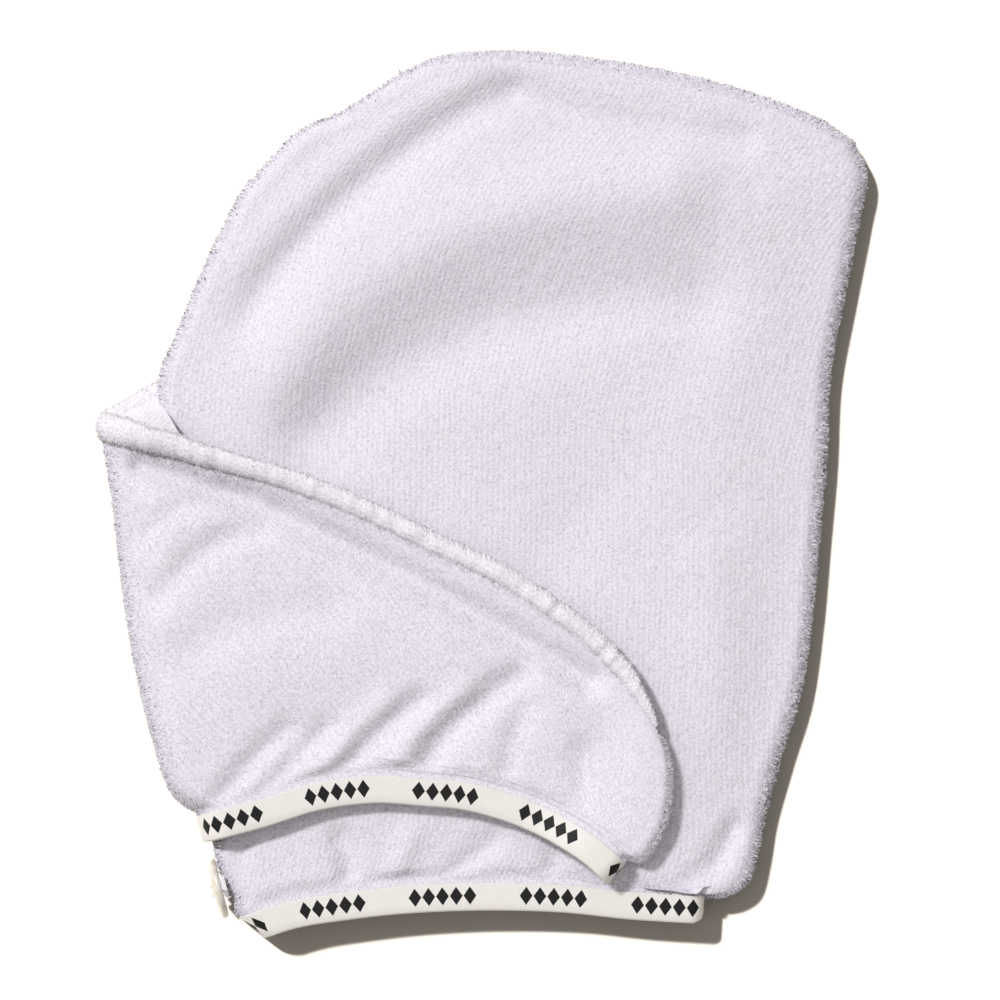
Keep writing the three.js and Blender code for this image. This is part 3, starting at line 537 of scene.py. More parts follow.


# Each part's terry finish and the way its wales run: bumped on the sheets, plain on their loops. The
# flap's and the hem's colours are lighter copies of the hood's, painted light that brightens them.
cloths = (("Hood", "hood", 0), ("Flap", "flap", 38), ("Hem", "hem", 90))
hoodTerry, flapTerry, hemTerry = (
    terryFinish("terry" + name, terryLook[key], math.radians(turn)) for name, key, turn in cloths
)
hoodYarn, flapYarn, hemYarn = (
    terryFinish("yarn" + name, terryLook[key], math.radians(turn), False)
    for name, key, turn in cloths
)
rimElastic = bandFinish("elasticRim", True, 19.0)
flapElastic = bandFinish("elasticFlap", True, 7.0)
plainElastic = bandFinish("elasticPlain", False)
pearl = pearlFinish()
cotton = threadFinish()
print("towel: finishes made")


def meshPiece(name, points, faces, material, cloth=None, sharp=None):
    # one mesh from points in millimetres; cloth is where each point lies on the flat cloth
    mesh = bpy.data.meshes.new(name)
    mesh.from_pydata([], [], [])
    points = np.asarray(points, np.float32).reshape(-1, 3) * mm
    faces = np.asarray(faces, np.int32)
    mesh.vertices.add(len(points))
    mesh.vertices.foreach_set("co", points.ravel())
    mesh.loops.add(faces.size)
    mesh.loops.foreach_set("vertex_index", faces.ravel())
    mesh.polygons.add(len(faces))
    mesh.polygons.foreach_set("loop_start", np.arange(len(faces), dtype=np.int32) * faces.shape[1])
    mesh.update(calc_edges=True)
    mesh.polygons.foreach_set("use_smooth", np.ones(len(faces), bool))
    if sharp is not None:
        mesh.set_sharp_from_angle(angle=math.radians(sharp))
    if cloth is not None:
        layer = mesh.attributes.new("cloth", "FLOAT_VECTOR", "POINT")
        layer.data.foreach_set("vector", np.asarray(cloth, np.float32).ravel())
    mesh.materials.append(material)
    piece = bpy.data.objects.new(name, mesh)
    bpy.context.scene.collection.objects.link(piece)
    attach(piece, "root")
    return piece


def gridFaces(rows, columns, wrapRows=False, wrapColumns=False):
    j = np.arange(rows if wrapRows else rows - 1)[:, None]
    i = np.arange(columns if wrapColumns else columns - 1)[None, :]
    nextRow, nextColumn = (j + 1) % rows, (i + 1) % columns
    corners = [j * columns + i, j * columns + nextColumn, nextRow * columns + nextColumn,
               nextRow * columns + i]
    return np.stack(np.broadcast_arrays(*corners), -1).reshape(-1, 4)


def clothOf(grid):
    # where each grid point lies on the flat cloth, in millimetres
    across = np.linalg.norm(np.diff(grid, axis=1), axis=2)
    along = np.linalg.norm(np.diff(grid, axis=0), axis=2)
    x = np.concatenate([np.zeros((len(grid), 1)), np.cumsum(across, 1)], 1)
    x -= x[:, -1:] / 2
    y = np.concatenate([np.zeros((1, grid.shape[1])), np.cumsum(along, 0)], 0)
    return np.stack([x, y, np.zeros_like(x)], -1)


def ripple(grid, size, depth, seed):
    # soft uneven swell over a sheet
    flat = grid.reshape(-1, 3)
    shift = Vector(seed * step for step in (17.3, 5.1, 3.7))  # each seed has its own place in the noise
    heights = [noise.noise(Vector(point) / size + shift) for point in flat.tolist()]
    return np.array(heights).reshape(grid.shape[:-1]) * depth


def wallsOf(grid, run):
    # a sheet's wall: thin in its hem, full a few lines on
    thick = smooth((np.arange(len(grid)) - band["rimRows"]) / run)[:, None]
    return mix(towel["hemmedWall"], towel["wall"], np.broadcast_to(thick, grid.shape[:2]))


def closedSheet(name, grid, normals, wall, facing, seam, material):
    # outer face on the grid, inner face one wall behind it, joined round the edge
    rows, columns = grid.shape[:2]
    inner = grid - normals * wall[..., None]
    if seam is not None:
        limit = np.maximum if facing > 0 else np.minimum
        inner[..., 2] = limit(inner[..., 2], seam)
    count = rows * columns
    faces = gridFaces(rows, columns)
    j, i = np.arange(rows - 1), np.arange(columns - 1)
    below, above = i, (rows - 1) * columns + i
    left, right = j * columns, j * columns + columns - 1
    edges = [
        np.stack([below + count, below + 1 + count, below + 1, below], -1),
        np.stack([above, above + 1, above + 1 + count, above + count], -1),
        np.stack([left, left + columns, left + columns + count, left + count], -1),
        np.stack([right + count, right + columns + count, right + columns, right], -1),
    ]
    faces = np.concatenate([faces, faces[:, ::-1] + count, *edges])
    if facing < 0:
        faces = faces[:, ::-1]
    points = np.concatenate([grid.reshape(-1, 3), inner.reshape(-1, 3)])
    cloth, innerShift = clothOf(grid).reshape(-1, 3), (0, 0, 9)
    return meshPiece(name, points, faces, material, np.concatenate([cloth, cloth + innerShift]))


def terrySheet(name, grid, look, facing, material, soft=None, closed=True):
    # the sheet on a grid, uneven where it is soft, and its face: that grid and its normals
    gap = towel["seamGap"] / 2 * facing if closed else 0
    if soft is not None:
        grid[..., 2] += ripple(grid, *look["swell"]) * soft
    grid[..., 2] += gap
    normals = gridNormals(grid, facing, closed)
    if soft is not None:
        grid += normals * (chance.normal(0, look["grain"], grid.shape[:2]) * soft)[..., None]
    grid = placed(grid)
    seam = hood["seamHeight"] + gap - origin[2] if closed else None
    wall = wallsOf(grid, look["thickenRun"])
    return closedSheet(name, grid, normals, wall, facing, seam, material), (grid, normals)


# Where the towel lies: the solids' own origin, found again from a panel's box
hoodBand = Rim(hoodRim, 35, corner=3.2)
hoodLeftCurve = Curve([hoodBand.inner(0), *inPlan(hoodLeft)])
rimEnd = hoodBand.inner(1)
cornerAcross, cornerHang = 0.812, 1.5  # the cloth hangs a little below its rim
rimCorner = (cornerAcross * towel["width"], rimEnd[1] - cornerHang)
hoodRightCurve = Curve([rimEnd, rimCorner, *inPlan(hoodRight)])
hoodTopCurve = Curve(inPlan(hoodTop))
hoodSeamLine = np.concatenate([
    hoodLeftCurve.at(evenly(91)),
    hoodTopCurve.at(evenly(61)),
    hoodRightCurve.at(np.linspace(1, 0, 91)),
])
hoodRimLine = hoodBand.edge(evenly(80))
hoodPlan = np.concatenate([hoodSeamLine, hoodRimLine])
panelLow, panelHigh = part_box("upper_panel")
boxMiddle = np.array((panelLow + panelHigh) / 2)[:2] / mm
origin = np.array([*((hoodPlan.min(0) + hoodPlan.max(0)) / 2 - boxMiddle), -towel["seamGap"] / 2])


def placed(points):
    return points - origin


hood = {
    "seamHeight": 6,
    "edgeRound": 6,
    "shoulderHeight": 12,
    "crownHeight": 15.2,
    "crownRun": 45,
    "mouthHeight": 13.2,
    "mouthLift": 1.7,
    "mouthRun": 40,
    "columns": 178,
    "rows": 226,
    "underColumns": 96,
    "underRows": 120,
    "swell": (22, 0.5, 1),  # size, depth and seed of its soft unevenness
    "grain": 0.1,
    "thickenRun": 4,  # grid lines from hemmed wall to full wall
    "eases": (0.35, 0.3),  # how far its grid lines draw towards its edges
}


def rimLevel(u, middle):
    edge = hoodBand.edge(u)
    away = np.minimum(
        np.linalg.norm(edge - hoodBand.edge(0), axis=-1),
        np.linalg.norm(edge - hoodBand.edge(1), axis=-1),
    )
    return mix(hood["seamHeight"], middle, roundOver(away / hood["edgeRound"]))


def hoodSheetPlan(columns, rows):
    u, v = map(easedShares, (columns, rows), hood["eases"])
    return u, sheetPlan(hoodBand, hoodTopCurve, hoodLeftCurve, hoodRightCurve, u, v)


def fromEdges(plan):
    # how far each point lies from the bag's seam and from its binding
    bandLine = hoodBand.inner(evenly(60))
    return planDistance(plan, hoodSeamLine), planDistance(plan, bandLine)


def upperHeights(plan, level):
    fromSeam, fromBand = fromEdges(plan)
    folds = foldsAt(plan, hoodFolds, towel["foldRise"], towel["foldSpread"])
    gathers = foldsAt(plan, hoodGathers, towel["gatherRise"], towel["gatherSpread"])
    soft = mix(hood["seamHeight"], hood["shoulderHeight"], roundOver(fromSeam / hood["edgeRound"]))
    crown = hood["crownHeight"] - hood["shoulderHeight"]
    dome = soft + crown * smooth(fromSeam / hood["crownRun"])
    seated = smooth(fromSeam / (2 * hood["edgeRound"]))
    puffed = level + towel["puffRise"] * smooth(fromBand / towel["puffRun"]) * seated
    height = mix(puffed, dome, smooth(fromBand / hood["mouthRun"]))
    return height + (folds + gathers * smooth(fromBand / towel["puffRun"])) * seated, seated


def seamed(height, level):
    # level along the binding, and down at the seam round the other sides
    slot = band["rimRows"]
    height[:slot + 1] = level
    for edge in (np.s_[slot:, 0], np.s_[slot:, -1], np.s_[-1, :]):
        height[edge] = hood["seamHeight"]
    return height


def makeHood():
    u, plan = hoodSheetPlan(hood["columns"], hood["rows"])
    level = rimLevel(u, hood["mouthHeight"])[None, :]
    height, seated = upperHeights(plan, level)
    grid = withHeight(plan, seamed(height, level))
    soft = seated * smooth(np.arange(len(plan)) - band["rimRows"])[:, None]
    upper = terrySheet("hoodUpper", grid, hood, 1, hoodTerry, soft)

    u, plan = hoodSheetPlan(hood["underColumns"], hood["underRows"])
    fromSeam, fromBand = fromEdges(plan)
    flat = mix(hood["seamHeight"], 0, roundOver(fromSeam / hood["edgeRound"]))
    level = rimLevel(u, hood["mouthLift"])[None, :]
    height = mix(level, flat, smooth(fromBand / towel["puffRun"]))
    grid = withHeight(plan, seamed(height, level))
    return *upper, *terrySheet("hoodUnder", grid, hood, -1, hoodTerry)


hoodUpper, upperFace, hoodUnder, underFace = makeHood()
print("towel: hood made")


flap = {
    "height": 20.7,
    "foldHeight": 8.5,
    "foldTurn": 6,
    "reachRim": 9,
    "reachHem": 24,
    "bandEndTurn": 35,
    "turnSettle": 0.105,
    "dropUsed": 0.9,
    "curlRound": 4.6,
    "curlDrop": 4.4,
    "curlReturn": 18,
    "curlRun": 48,
    "hemDip": 0.6,
    "hemRun": 14,
    "columns": 150,
    "rows": 112,
    "turnLines": 12,
    "legLines": 9,
    "swell": (18, 0.5, 5),
    "grain": 0.1,
    "thickenRun": 3,
    "softenRun": 6,
    "eases": (0.35, 0.2),
    "midHeading": (1, 0.1),
    "hemHeadingLeft": (0.85, 0.53),
    "hemHeadingRight": (-1, 0.15),
    "headingTurns": (0.3, 0.55),
}
flapBand = Rim(flapRim)
flapLeftCurve = Curve([flapBand.inner(0), *inPlan(flapLeft)])
flapRightCurve = Curve([flapBand.inner(1), *inPlan(flapRight)])
flapTopCurve = Curve(inPlan(flapTop))
turnedLines = flap["legLines"] + flap["turnLines"]
curlMiddle = hood["crownHeight"] + towel["layerGap"] + flap["curlDrop"]
bandOutside = band["slack"] + band["wall"]


def flapHeights(plan, v):
    fromLeft = np.linalg.norm(plan - plan[:, :1], axis=-1)
    fromRight = np.linalg.norm(plan - plan[:, -1:], axis=-1)
    bandLine = flapBand.inner(evenly(60))
    topLine = flapTopCurve.at(evenly(80))
    curl = 1 - smooth((fromRight - flap["curlReturn"] / 2) / (flap["curlRun"] - flap["curlReturn"]))
    height = mix(flap["height"], curlMiddle + flap["curlDrop"], curl)
    fromBand = planDistance(plan, bandLine)
    inside = smooth(fromLeft / flap["reachRim"]) * (1 - curl) * (v > 0)
    gathers = foldsAt(plan, flapGathers, towel["gatherRise"], towel["gatherSpread"])
    folds = foldsAt(plan, flapFolds, towel["foldRise"], towel["foldSpread"])
    puffed = smooth(fromBand / towel["puffRun"])
    height += (gathers * puffed + folds + towel["puffRise"] * puffed) * inside
    height -= flap["hemDip"] * (1 - smooth(planDistance(plan, topLine) / flap["hemRun"])) * inside
    reach = mix(flap["reachRim"], flap["reachHem"], smooth(v))
    height = mix(flap["foldHeight"], height, roundOver(fromLeft / reach))
    return mix(curlMiddle, height, roundOver(fromRight / flap["curlRound"])), inside


def roomToSeam(start, heading, gap):
    # how far a line runs from the left fold before it meets the hood's seam
    line = hoodLeftCurve.at(evenly(181))
    lengths = np.arange(0, towel["width"], 0.25)[:, None]
    points = start + lengths * heading
    seamX = np.interp(points[:, 1], line[:, 1], line[:, 0])
    return float(lengths[np.argmax(points[:, 0] > seamX - gap), 0])


def headingLeft(v):
    rimUpTo, hemFrom = flap["headingTurns"]
    way = mix(flapBand.curve.heading(0), unit(flap["midHeading"]), smooth(v / rimUpTo))
    hemWay = unit(flap["hemHeadingLeft"])
    return unit(mix(way, hemWay, smooth((v - hemFrom) / (1 - hemFrom))))


def leftTurn(start, heading, share):
    turn = math.radians(mix(flap["bandEndTurn"], 90, share))
    room = (roomToSeam(start, heading, towel["layerGap"]) - flap["foldTurn"]) * share
    drop = flap["foldHeight"] * (1 - math.sin(turn)) / max(math.cos(turn), tiny)
    flat = min(max(band["wall"], room), drop * flap["dropUsed"]) if share < 1 else room
    run = np.linspace(1, 0, flap["legLines"], endpoint=False) * flat
    angle = np.linspace(turn, 0, flap["turnLines"], endpoint=False)
    across = np.concatenate([
        flap["foldTurn"] * (1 - math.cos(turn)) + run * math.sin(turn),
        flap["foldTurn"] * (1 - np.cos(angle)),
    ])
    height = np.concatenate([
        flap["foldHeight"] * (1 - math.sin(turn)) - run * math.cos(turn),
        flap["foldHeight"] * (1 - np.sin(angle)),
    ])
    return withHeight(start + across[:, None] * heading, height)


def rightTurn(start, heading, lift):
    drop = flap["curlDrop"] - lift
    angle = np.linspace(0, math.pi / 2, flap["turnLines"] + 1)[1:]
    leg = np.linspace(flap["curlRound"], flap["curlReturn"], flap["legLines"] + 1)[1:]
    across = np.concatenate([flap["curlRound"] * (1 - np.cos(angle)), leg])
    height = np.concatenate([curlMiddle - drop * np.sin(angle), np.full(len(leg), curlMiddle - drop)])
    return withHeight(start + across[:, None] * heading, height)


def makeFlap():
    slot = band["rimRows"]
    u, v = map(easedShares, (flap["columns"], flap["rows"]), flap["eases"])
    plan = sheetPlan(flapBand, flapTopCurve, flapLeftCurve, flapRightCurve, u, v)
    shares = np.concatenate([np.zeros(slot), v])
    over, inside = flapHeights(plan, shares[:, None])
    lines = []
    for row, height, share in zip(plan, over, shares):
        under = float(smooth(share / flap["turnSettle"]))
        hemWay = unit(flap["hemHeadingRight"])
        headingRight = unit(mix(-flapBand.curve.heading(1), hemWay, smooth(share)))
        left = leftTurn(row[0], headingLeft(share), under)
        right = rightTurn(row[-1], headingRight, bandOutside * (1 - under))
        lines.append(np.concatenate([left, withHeight(row, height), right]))
    grid = np.array(lines)
    soft = np.zeros(grid.shape[:2])
    soft[:, turnedLines:turnedLines + len(u)] = inside
    soft *= smooth((np.arange(len(grid)) - slot) / flap["softenRun"])[:, None]
    return terrySheet("frontFlap", grid, flap, 1, flapTerry, soft, closed=False)


frontFlap, flapFace = makeFlap()
print("towel: flap made")


hem = {
    "width": 7.4,
    "height": 5.6,
    "taper": 0.3,
    "taperRun": 34,
    "sides": 36,
    "sunk": 0.7,  # how far its pile sinks into the flap's edge
    "cornerExtra": 0.45,  # how much thicker it is round the left fold
    "cornerRun": 34,
    "extra": 40,  # rings on the stretch under the left fold
    "lumps": (6.0, 0.25, 9),
}


def makeHem():
    # the rolled hem follows the flap's upper edge from under the left fold to the right fold
    grid, normals = flapFace
    last = turnedLines + flap["columns"] - 1
    row, inside = grid[-1, :last], grid[-3, :last]
    middle = row - normals[-1, :last] * towel["wall"] / 2
    path = unit(np.gradient(middle, axis=0))
    outward = row - inside
    outward = unit(outward - path * (outward * path).sum(-1, keepdims=True))
    above = np.cross(path, outward)
    fromEnd = np.linalg.norm(middle - middle[-1], axis=-1)
    turning = np.argmin(middle[:, 0])
    fromCorner = np.linalg.norm(middle - middle[turning], axis=-1) / hem["cornerRun"]
    thicker = 1 + hem["cornerExtra"] * np.exp(-fromCorner**2)
    size = (mix(hem["taper"], 1, smooth(fromEnd / hem["taperRun"])) * thicker)[:, None]
    halfWidth, halfHeight = hem["width"] / 2 * size, hem["height"] / 2 * size
    centre = middle + outward * (halfWidth - hem["sunk"])
    lift = (halfHeight[:, 0] - towel["wall"] / 2) * np.abs(above[:, 2])
    floor = halfHeight[:, 0] + towel["seamGap"]
    centre[:, 2] = np.maximum(centre[:, 2] + lift, floor)
    angle = roundTurns(hem["sides"])[None, :, None]
    rings = centre[:, None] + outward[:, None] * halfWidth[:, None] * np.cos(angle)
    rings = rings + above[:, None] * halfHeight[:, None] * np.sin(angle)
    heading = headingLeft(1)
    reach = np.array([
        roomToSeam(point[:2] + origin[:2], heading, towel["seamGap"]) for point in rings[0]
    ])
    share = np.linspace(1, 0, hem["extra"], endpoint=False)[:, None, None]
    ahead = withHeight(reach[:, None] * heading, 0.0)
    rings = np.concatenate([rings[:1] + share * ahead, rings])
    middles = rings.mean(1, keepdims=True)
    return rings + unit(rings - middles) * ripple(rings, *hem["lumps"])[..., None]


def reachOf(line):
    # how far along a line each of its points lies
    return np.concatenate([[0], np.cumsum(np.linalg.norm(np.diff(line, axis=0), axis=1))])


def ringsPiece(name, rings, cloth, material, closedPath, sharp=None):
    # a tube from rings of points, with its ends closed by fans where it has ends
    rows, columns = rings.shape[:2]
    faces = gridFaces(rows, columns, wrapRows=closedPath, wrapColumns=True)
    points, cloth = rings.reshape(-1, 3), cloth.reshape(-1, 3)
    if not closedPath:
        points = np.concatenate([points, [rings[0].mean(0), rings[-1].mean(0)]])
        cloth = np.concatenate([cloth, [cloth[0], cloth[-1]]])
        i = np.arange(columns)
        n, lastRing = rows * columns, (rows - 1) * columns
        start = np.stack([np.full(columns, n), (i + 1) % columns, i], -1)
        end = np.stack([np.full(columns, n + 1), lastRing + i, lastRing + (i + 1) % columns], -1)
        faces = np.concatenate([faces[:, [0, 1, 2]], faces[:, [0, 2, 3]], start, end])
    return meshPiece(name, points, faces, material, cloth, sharp)


def tubePiece(name, rings, material, closedPath=False):
    along = reachOf(rings.mean(1))
    around = np.linalg.norm(rings - np.roll(rings, 1, axis=1), axis=2).cumsum(1)
    cloth = np.stack([np.broadcast_to(along[:, None], around.shape), around, 0 * around], -1)
    return ringsPiece(name, rings, cloth, material, closedPath)


hemRings = makeHem()
rolledHem = tubePiece("rolledHem", hemRings, hemTerry)
lining = {
    "rows": 26,
    "columns": 40,
    "to": 22,  # how far it runs from the corner
    "frontExtra": 8.5,  # and how much further beside the flap's hem
    "lift": 0.75,
    "sag": 1.6,
    "wall": 1.2,
}


def makeLining():
    # the fold's far side, seen from the front roll to the back roll at the left corner
    middle, top = hemRings.mean(1), hemRings[..., 2].max(1)
    turning = np.argmin(middle[:, 0])
    front, back = middle[turning:].copy(), middle[:turning + 1][::-1].copy()
    front[:, 2] = mix(front[:, 2], top[turning:], lining["lift"])
    back[:, 2] = mix(back[:, 2], top[:turning + 1][::-1], lining["lift"])
    shares, lines = evenly(lining["columns"]), []
    for line, extra in ((front, lining["frontExtra"]), (back, 0)):
        along = reachOf(line[:, :2])
        far = shares * lining["to"] * (1 + extra / lining["to"])
        lines.append(np.stack([np.interp(far, along, axis) for axis in line.T], -1))
    share = evenly(lining["rows"])[:, None, None]
    grid = mix(lines[1][None], lines[0][None], share)
    sag = np.sin(np.pi * share[..., 0]) * smooth(shares)
    grid[..., 2] -= lining["sag"] * sag
    normals = gridNormals(grid, 1, False)
    wall = np.full(grid.shape[:2], lining["wall"])
    return closedSheet("foldLining", grid, normals, wall, 1, None, flapTerry), (grid, normals)


foldLining, liningFace = makeLining()
print("towel: hem made")


bandInside = -(towel["hemmedWall"] + band["slack"] + band["wall"])


def bandSection():
    # the folded elastic: height above the cloth's outer face, depth from its cut edge
    middle, half = (bandOutside + bandInside) / 2, (bandOutside - bandInside) / 2
    turn = np.linspace(-math.pi / 2, math.pi / 2, band["foldSteps"])
    out = band["wall"] * (1 - band["foldRound"] + band["foldRound"] * np.cos(turn))
    fold = list(zip(middle - np.sin(turn) * half, -band["slack"] - out))
    soft, stations = band["cutRound"], band["stations"]
    outer = [(bandOutside, bandReach - soft)]
    outer += [(bandOutside, bandReach * share) for share in stations[::-1]]
    back = [(bandInside, bandReach * share) for share in (*stations, 1)]
    innerBack = [(bandInside + band["wall"], depth) for depth in (bandReach, -band["slack"])]
    innerFront = [(band["slack"], depth) for depth in (-band["slack"], bandReach)]
    return np.array(outer + fold + back + innerBack + innerFront + [(bandOutside - soft, bandReach)])


def bandRings(face):
    # section rings along a sheet's rim, and how far along and across the tape each point lies
    grid, normals = face
    slot = band["rimRows"]
    edge, into = grid[0], unit(grid[slot] - grid[0])
    normal = normals[2]
    section = bandSection()
    slanted = np.linalg.norm(grid[slot] - grid[0], axis=-1) / slotDepth
    depth = section[None, :, 1:] * into[:, None] * slanted[:, None, None]
    return edge[:, None] + normal[:, None] * section[None, :, :1] + depth


def bandPiece(name, rings, material, closedPath):
    # its cloth place is along the tape, across it, and which face of the fold it is on
    section, shape = bandSection(), rings.shape[:2]
    across = np.broadcast_to(section[:, 1], shape)
    side = np.broadcast_to(np.sign(section[:, 0]) * band["faceShift"], shape)
    cloth = np.stack([np.broadcast_to(reachOf(rings[:, 0])[:, None], shape), across, side], -1)
    return ringsPiece(name, rings, cloth, material, closedPath, band["sharpAngle"])


def resample(rows, count):
    # the same number of stations, evenly spread, along a grid's first two axes
    places = np.linspace(0, len(rows) - 1, count)
    low = np.floor(places).astype(int).clip(0, len(rows) - 2)
    return mix(rows[low], rows[low + 1], (places - low).reshape(-1, *[1] * (rows.ndim - 1)))


upperRings = bandRings(upperFace)
lowerRings = bandRings(underFace)[1:-1][::-1]
rimBinding = bandPiece("rimBinding", np.concatenate([upperRings, lowerRings]), rimElastic, True)
flapRings = bandRings(flapFace)
flapBinding = bandPiece("flapBinding", flapRings, flapElastic, False)
print("towel: bindings made")


button = {
    "diameter": 22,
    "rim": 2.2,
    "dome": 1,
    "dishDepth": 0.6,
    "dishFlat": 0.25,
    "backFlat": 0.5,
    "edge": 0.06,  # share of its radius that its edge is round by
    "edgeSteps": 9,
    "sharpAngle": 50,
    "sides": 96,
    "lean": 2,
    "place": (0.166, 0.0555),
    "heading": (-0.971, -0.238),
    "ring": [(0.86, 0.35), (0.78, 0.7), (0.68, 0.95), (0.6, 1), (0.54, 0.9), (0.46, 0.55)],
}


def buttonAxes():
    lean = math.radians(button["lean"])
    way = unit(button["heading"])
    axis = np.array([*(way * math.cos(lean)), math.sin(lean)])
    across = unit(np.cross([0, 0, 1], axis))
    return np.array([across, np.cross(axis, across), axis])


def fromButton(points):
    centre = np.array([*inPlan(button["place"]), button["diameter"] / 2 + towel["seamGap"]])
    return placed(np.asarray(points) @ buttonAxes() + centre)


def makeButton():
    # turned profile with rounded edge, raised ring and dished middle
    radius, rim, dome = button["diameter"] / 2, button["rim"], button["dome"]
    dishFloor = rim + dome - button["dishDepth"]
    profile = [(0, 0), (radius * button["backFlat"], 0)]
    for turn in np.linspace(-math.pi / 2, math.pi / 2, button["edgeSteps"]):
        across = radius * (1 - button["edge"] + button["edge"] * math.cos(turn))
        profile.append((across, rim * (0.5 + 0.5 * math.sin(turn))))
    profile += [(radius * across, rim + dome * rise) for across, rise in button["ring"]]
    profile += [(radius * button["dishFlat"], dishFloor), (0, dishFloor)]
    profile = np.array(profile)
    angle = roundTurns(button["sides"])
    rings = np.stack([
        profile[:, :1] * np.cos(angle),
        profile[:, :1] * np.sin(angle),
        np.broadcast_to(profile[:, 1:], (len(profile), len(angle))),
    ], -1)
    faces = gridFaces(*rings.shape[:2], wrapColumns=True)
    local = rings.reshape(-1, 3)
    points, sharp = fromButton(local), button["sharpAngle"]
    return meshPiece("pearlButton", points, faces[:, ::-1], pearl, local, sharp)


pearlButton = makeButton()
pearlButton.visible_shadow = False  # pearl lets the light through to the cloth beside it


def sweep(path, radius, sides):
    # a round tube's rings along a path
    heading = unit(np.gradient(path, axis=0))
    side = unit(np.cross(heading, (0.13, 0.2, 1.0)))
    up = np.cross(side, heading)
    angle = roundTurns(sides)[None, :, None]
    return path[:, None] + radius * (side[:, None] * np.cos(angle) + up[:, None] * np.sin(angle))


stitches = {
    "pitch": 2.2,
    "thread": 0.36,
    "slant": 2.4,
    "from": 0.15,
    "to": 1.4,
    "sunk": 0.04,
    "points": 9,
    "sides": 5,
    "startsAt": 6,
    "endsAt": 8,
    "uneven": 0.15,
}


def makeStitches():
    # overlock threads that cross the roll at a slant, sunk a little into it
    rings = hemRings[hem["extra"]:]
    middle = rings.mean(1)
    reach = reachOf(middle)
    total = reach[-1] - stitches["endsAt"]
    points, faces = [], []
    count = int(total / stitches["pitch"])
    for k in range(count):
        start = stitches["startsAt"] + k * stitches["pitch"] + chance.normal(0, stitches["uneven"])
        share = evenly(stitches["points"])
        along = start + share * stitches["slant"]
        angle = mix(stitches["from"], stitches["to"], share)
        ring = np.interp(along, reach, np.arange(len(reach)))
        low = np.floor(ring).astype(int).clip(0, len(rings) - 2)
        turn = (angle % (2 * math.pi)) / (2 * math.pi) * hem["sides"]
        side = np.floor(turn).astype(int) % hem["sides"]
        nextSide, past = (side + 1) % hem["sides"], (ring - low)[:, None]
        one = mix(rings[low, side], rings[low + 1, side], past)
        two = mix(rings[low, nextSide], rings[low + 1, nextSide], past)
        onRoll = mix(one, two, (turn - np.floor(turn))[:, None])
        centre = mix(middle[low], middle[low + 1], past)
        path = onRoll + unit(onRoll - centre) * (stitches["thread"] / 2 - stitches["sunk"])
        tube = sweep(path, stitches["thread"] / 2, stitches["sides"])
        before = len(points) * tube.shape[0] * tube.shape[1]
        faces.append(gridFaces(*tube.shape[:2], wrapColumns=True) + before)
        points.append(tube.reshape(-1, 3))
    piece = meshPiece("overlockThreads", np.concatenate(points), np.concatenate(faces), cotton)
    piece.visible_shadow = False
    return piece


overlock = makeStitches()

loopCord = {
    "cord": 2.5,
    "length": 34,
    "slit": 3,
    "share": 0.43,  # of the left fold's length
    "steps": 160,
    "sides": 20,
    "strands": 4,
    "braidPitch": 0.9,
    "braid": 0.05,
}


def makeLoop():
    # braided elastic loop lying inside the left fold
    side = (loopCord["slit"] + loopCord["cord"]) / 2
    straight = loopCord["length"] / 2 - side - loopCord["cord"] / 2
    angle = roundTurns(loopCord["steps"])
    outward = np.stack([np.cos(angle), np.sin(angle), 0 * angle], -1)
    apart = np.sign(np.sin(angle + tiny)) * straight
    middle = outward * side + np.stack([0 * angle, apart, 0 * angle], -1)
    middle = resample(np.concatenate([middle, middle[:1]]), loopCord["steps"] + 1)[:-1]
    cordTurn, up = roundTurns(loopCord["sides"]), np.array([0, 0, 1.0])
    reach = np.arange(loopCord["steps"])[:, None]
    strands, pitch = cordTurn * loopCord["strands"], reach * loopCord["braidPitch"]
    braid = 1 + loopCord["braid"] * np.sin(strands + pitch) * np.sin(strands - pitch)
    radius = (loopCord["cord"] / 2 * braid)[..., None]
    rings = middle[:, None] + radius * (
        outward[:, None] * np.cos(cordTurn)[None, :, None]
        - up * np.sin(cordTurn)[None, :, None]
    )
    anchor = hoodLeftCurve.at(loopCord["share"])
    way = hoodLeftCurve.heading(loopCord["share"])
    turn = math.atan2(-way[0], way[1])
    across = np.array([math.cos(turn), math.sin(turn), 0])
    upwards = np.array([-math.sin(turn), math.cos(turn), 0])
    offset = towel["layerGap"] + loopCord["cord"] + loopCord["slit"] / 2
    level = towel["wall"] + towel["seamGap"] + loopCord["cord"] / 2
    centre = np.array([*anchor, level]) - across * offset
    local = rings[..., :1] * across + rings[..., 1:2] * upwards + rings[..., 2:] * up
    return tubePiece("buttonLoop", placed(local + centre), plainElastic, closedPath=True)


elasticLoop = makeLoop()
print("towel: button, stitches and loop made")


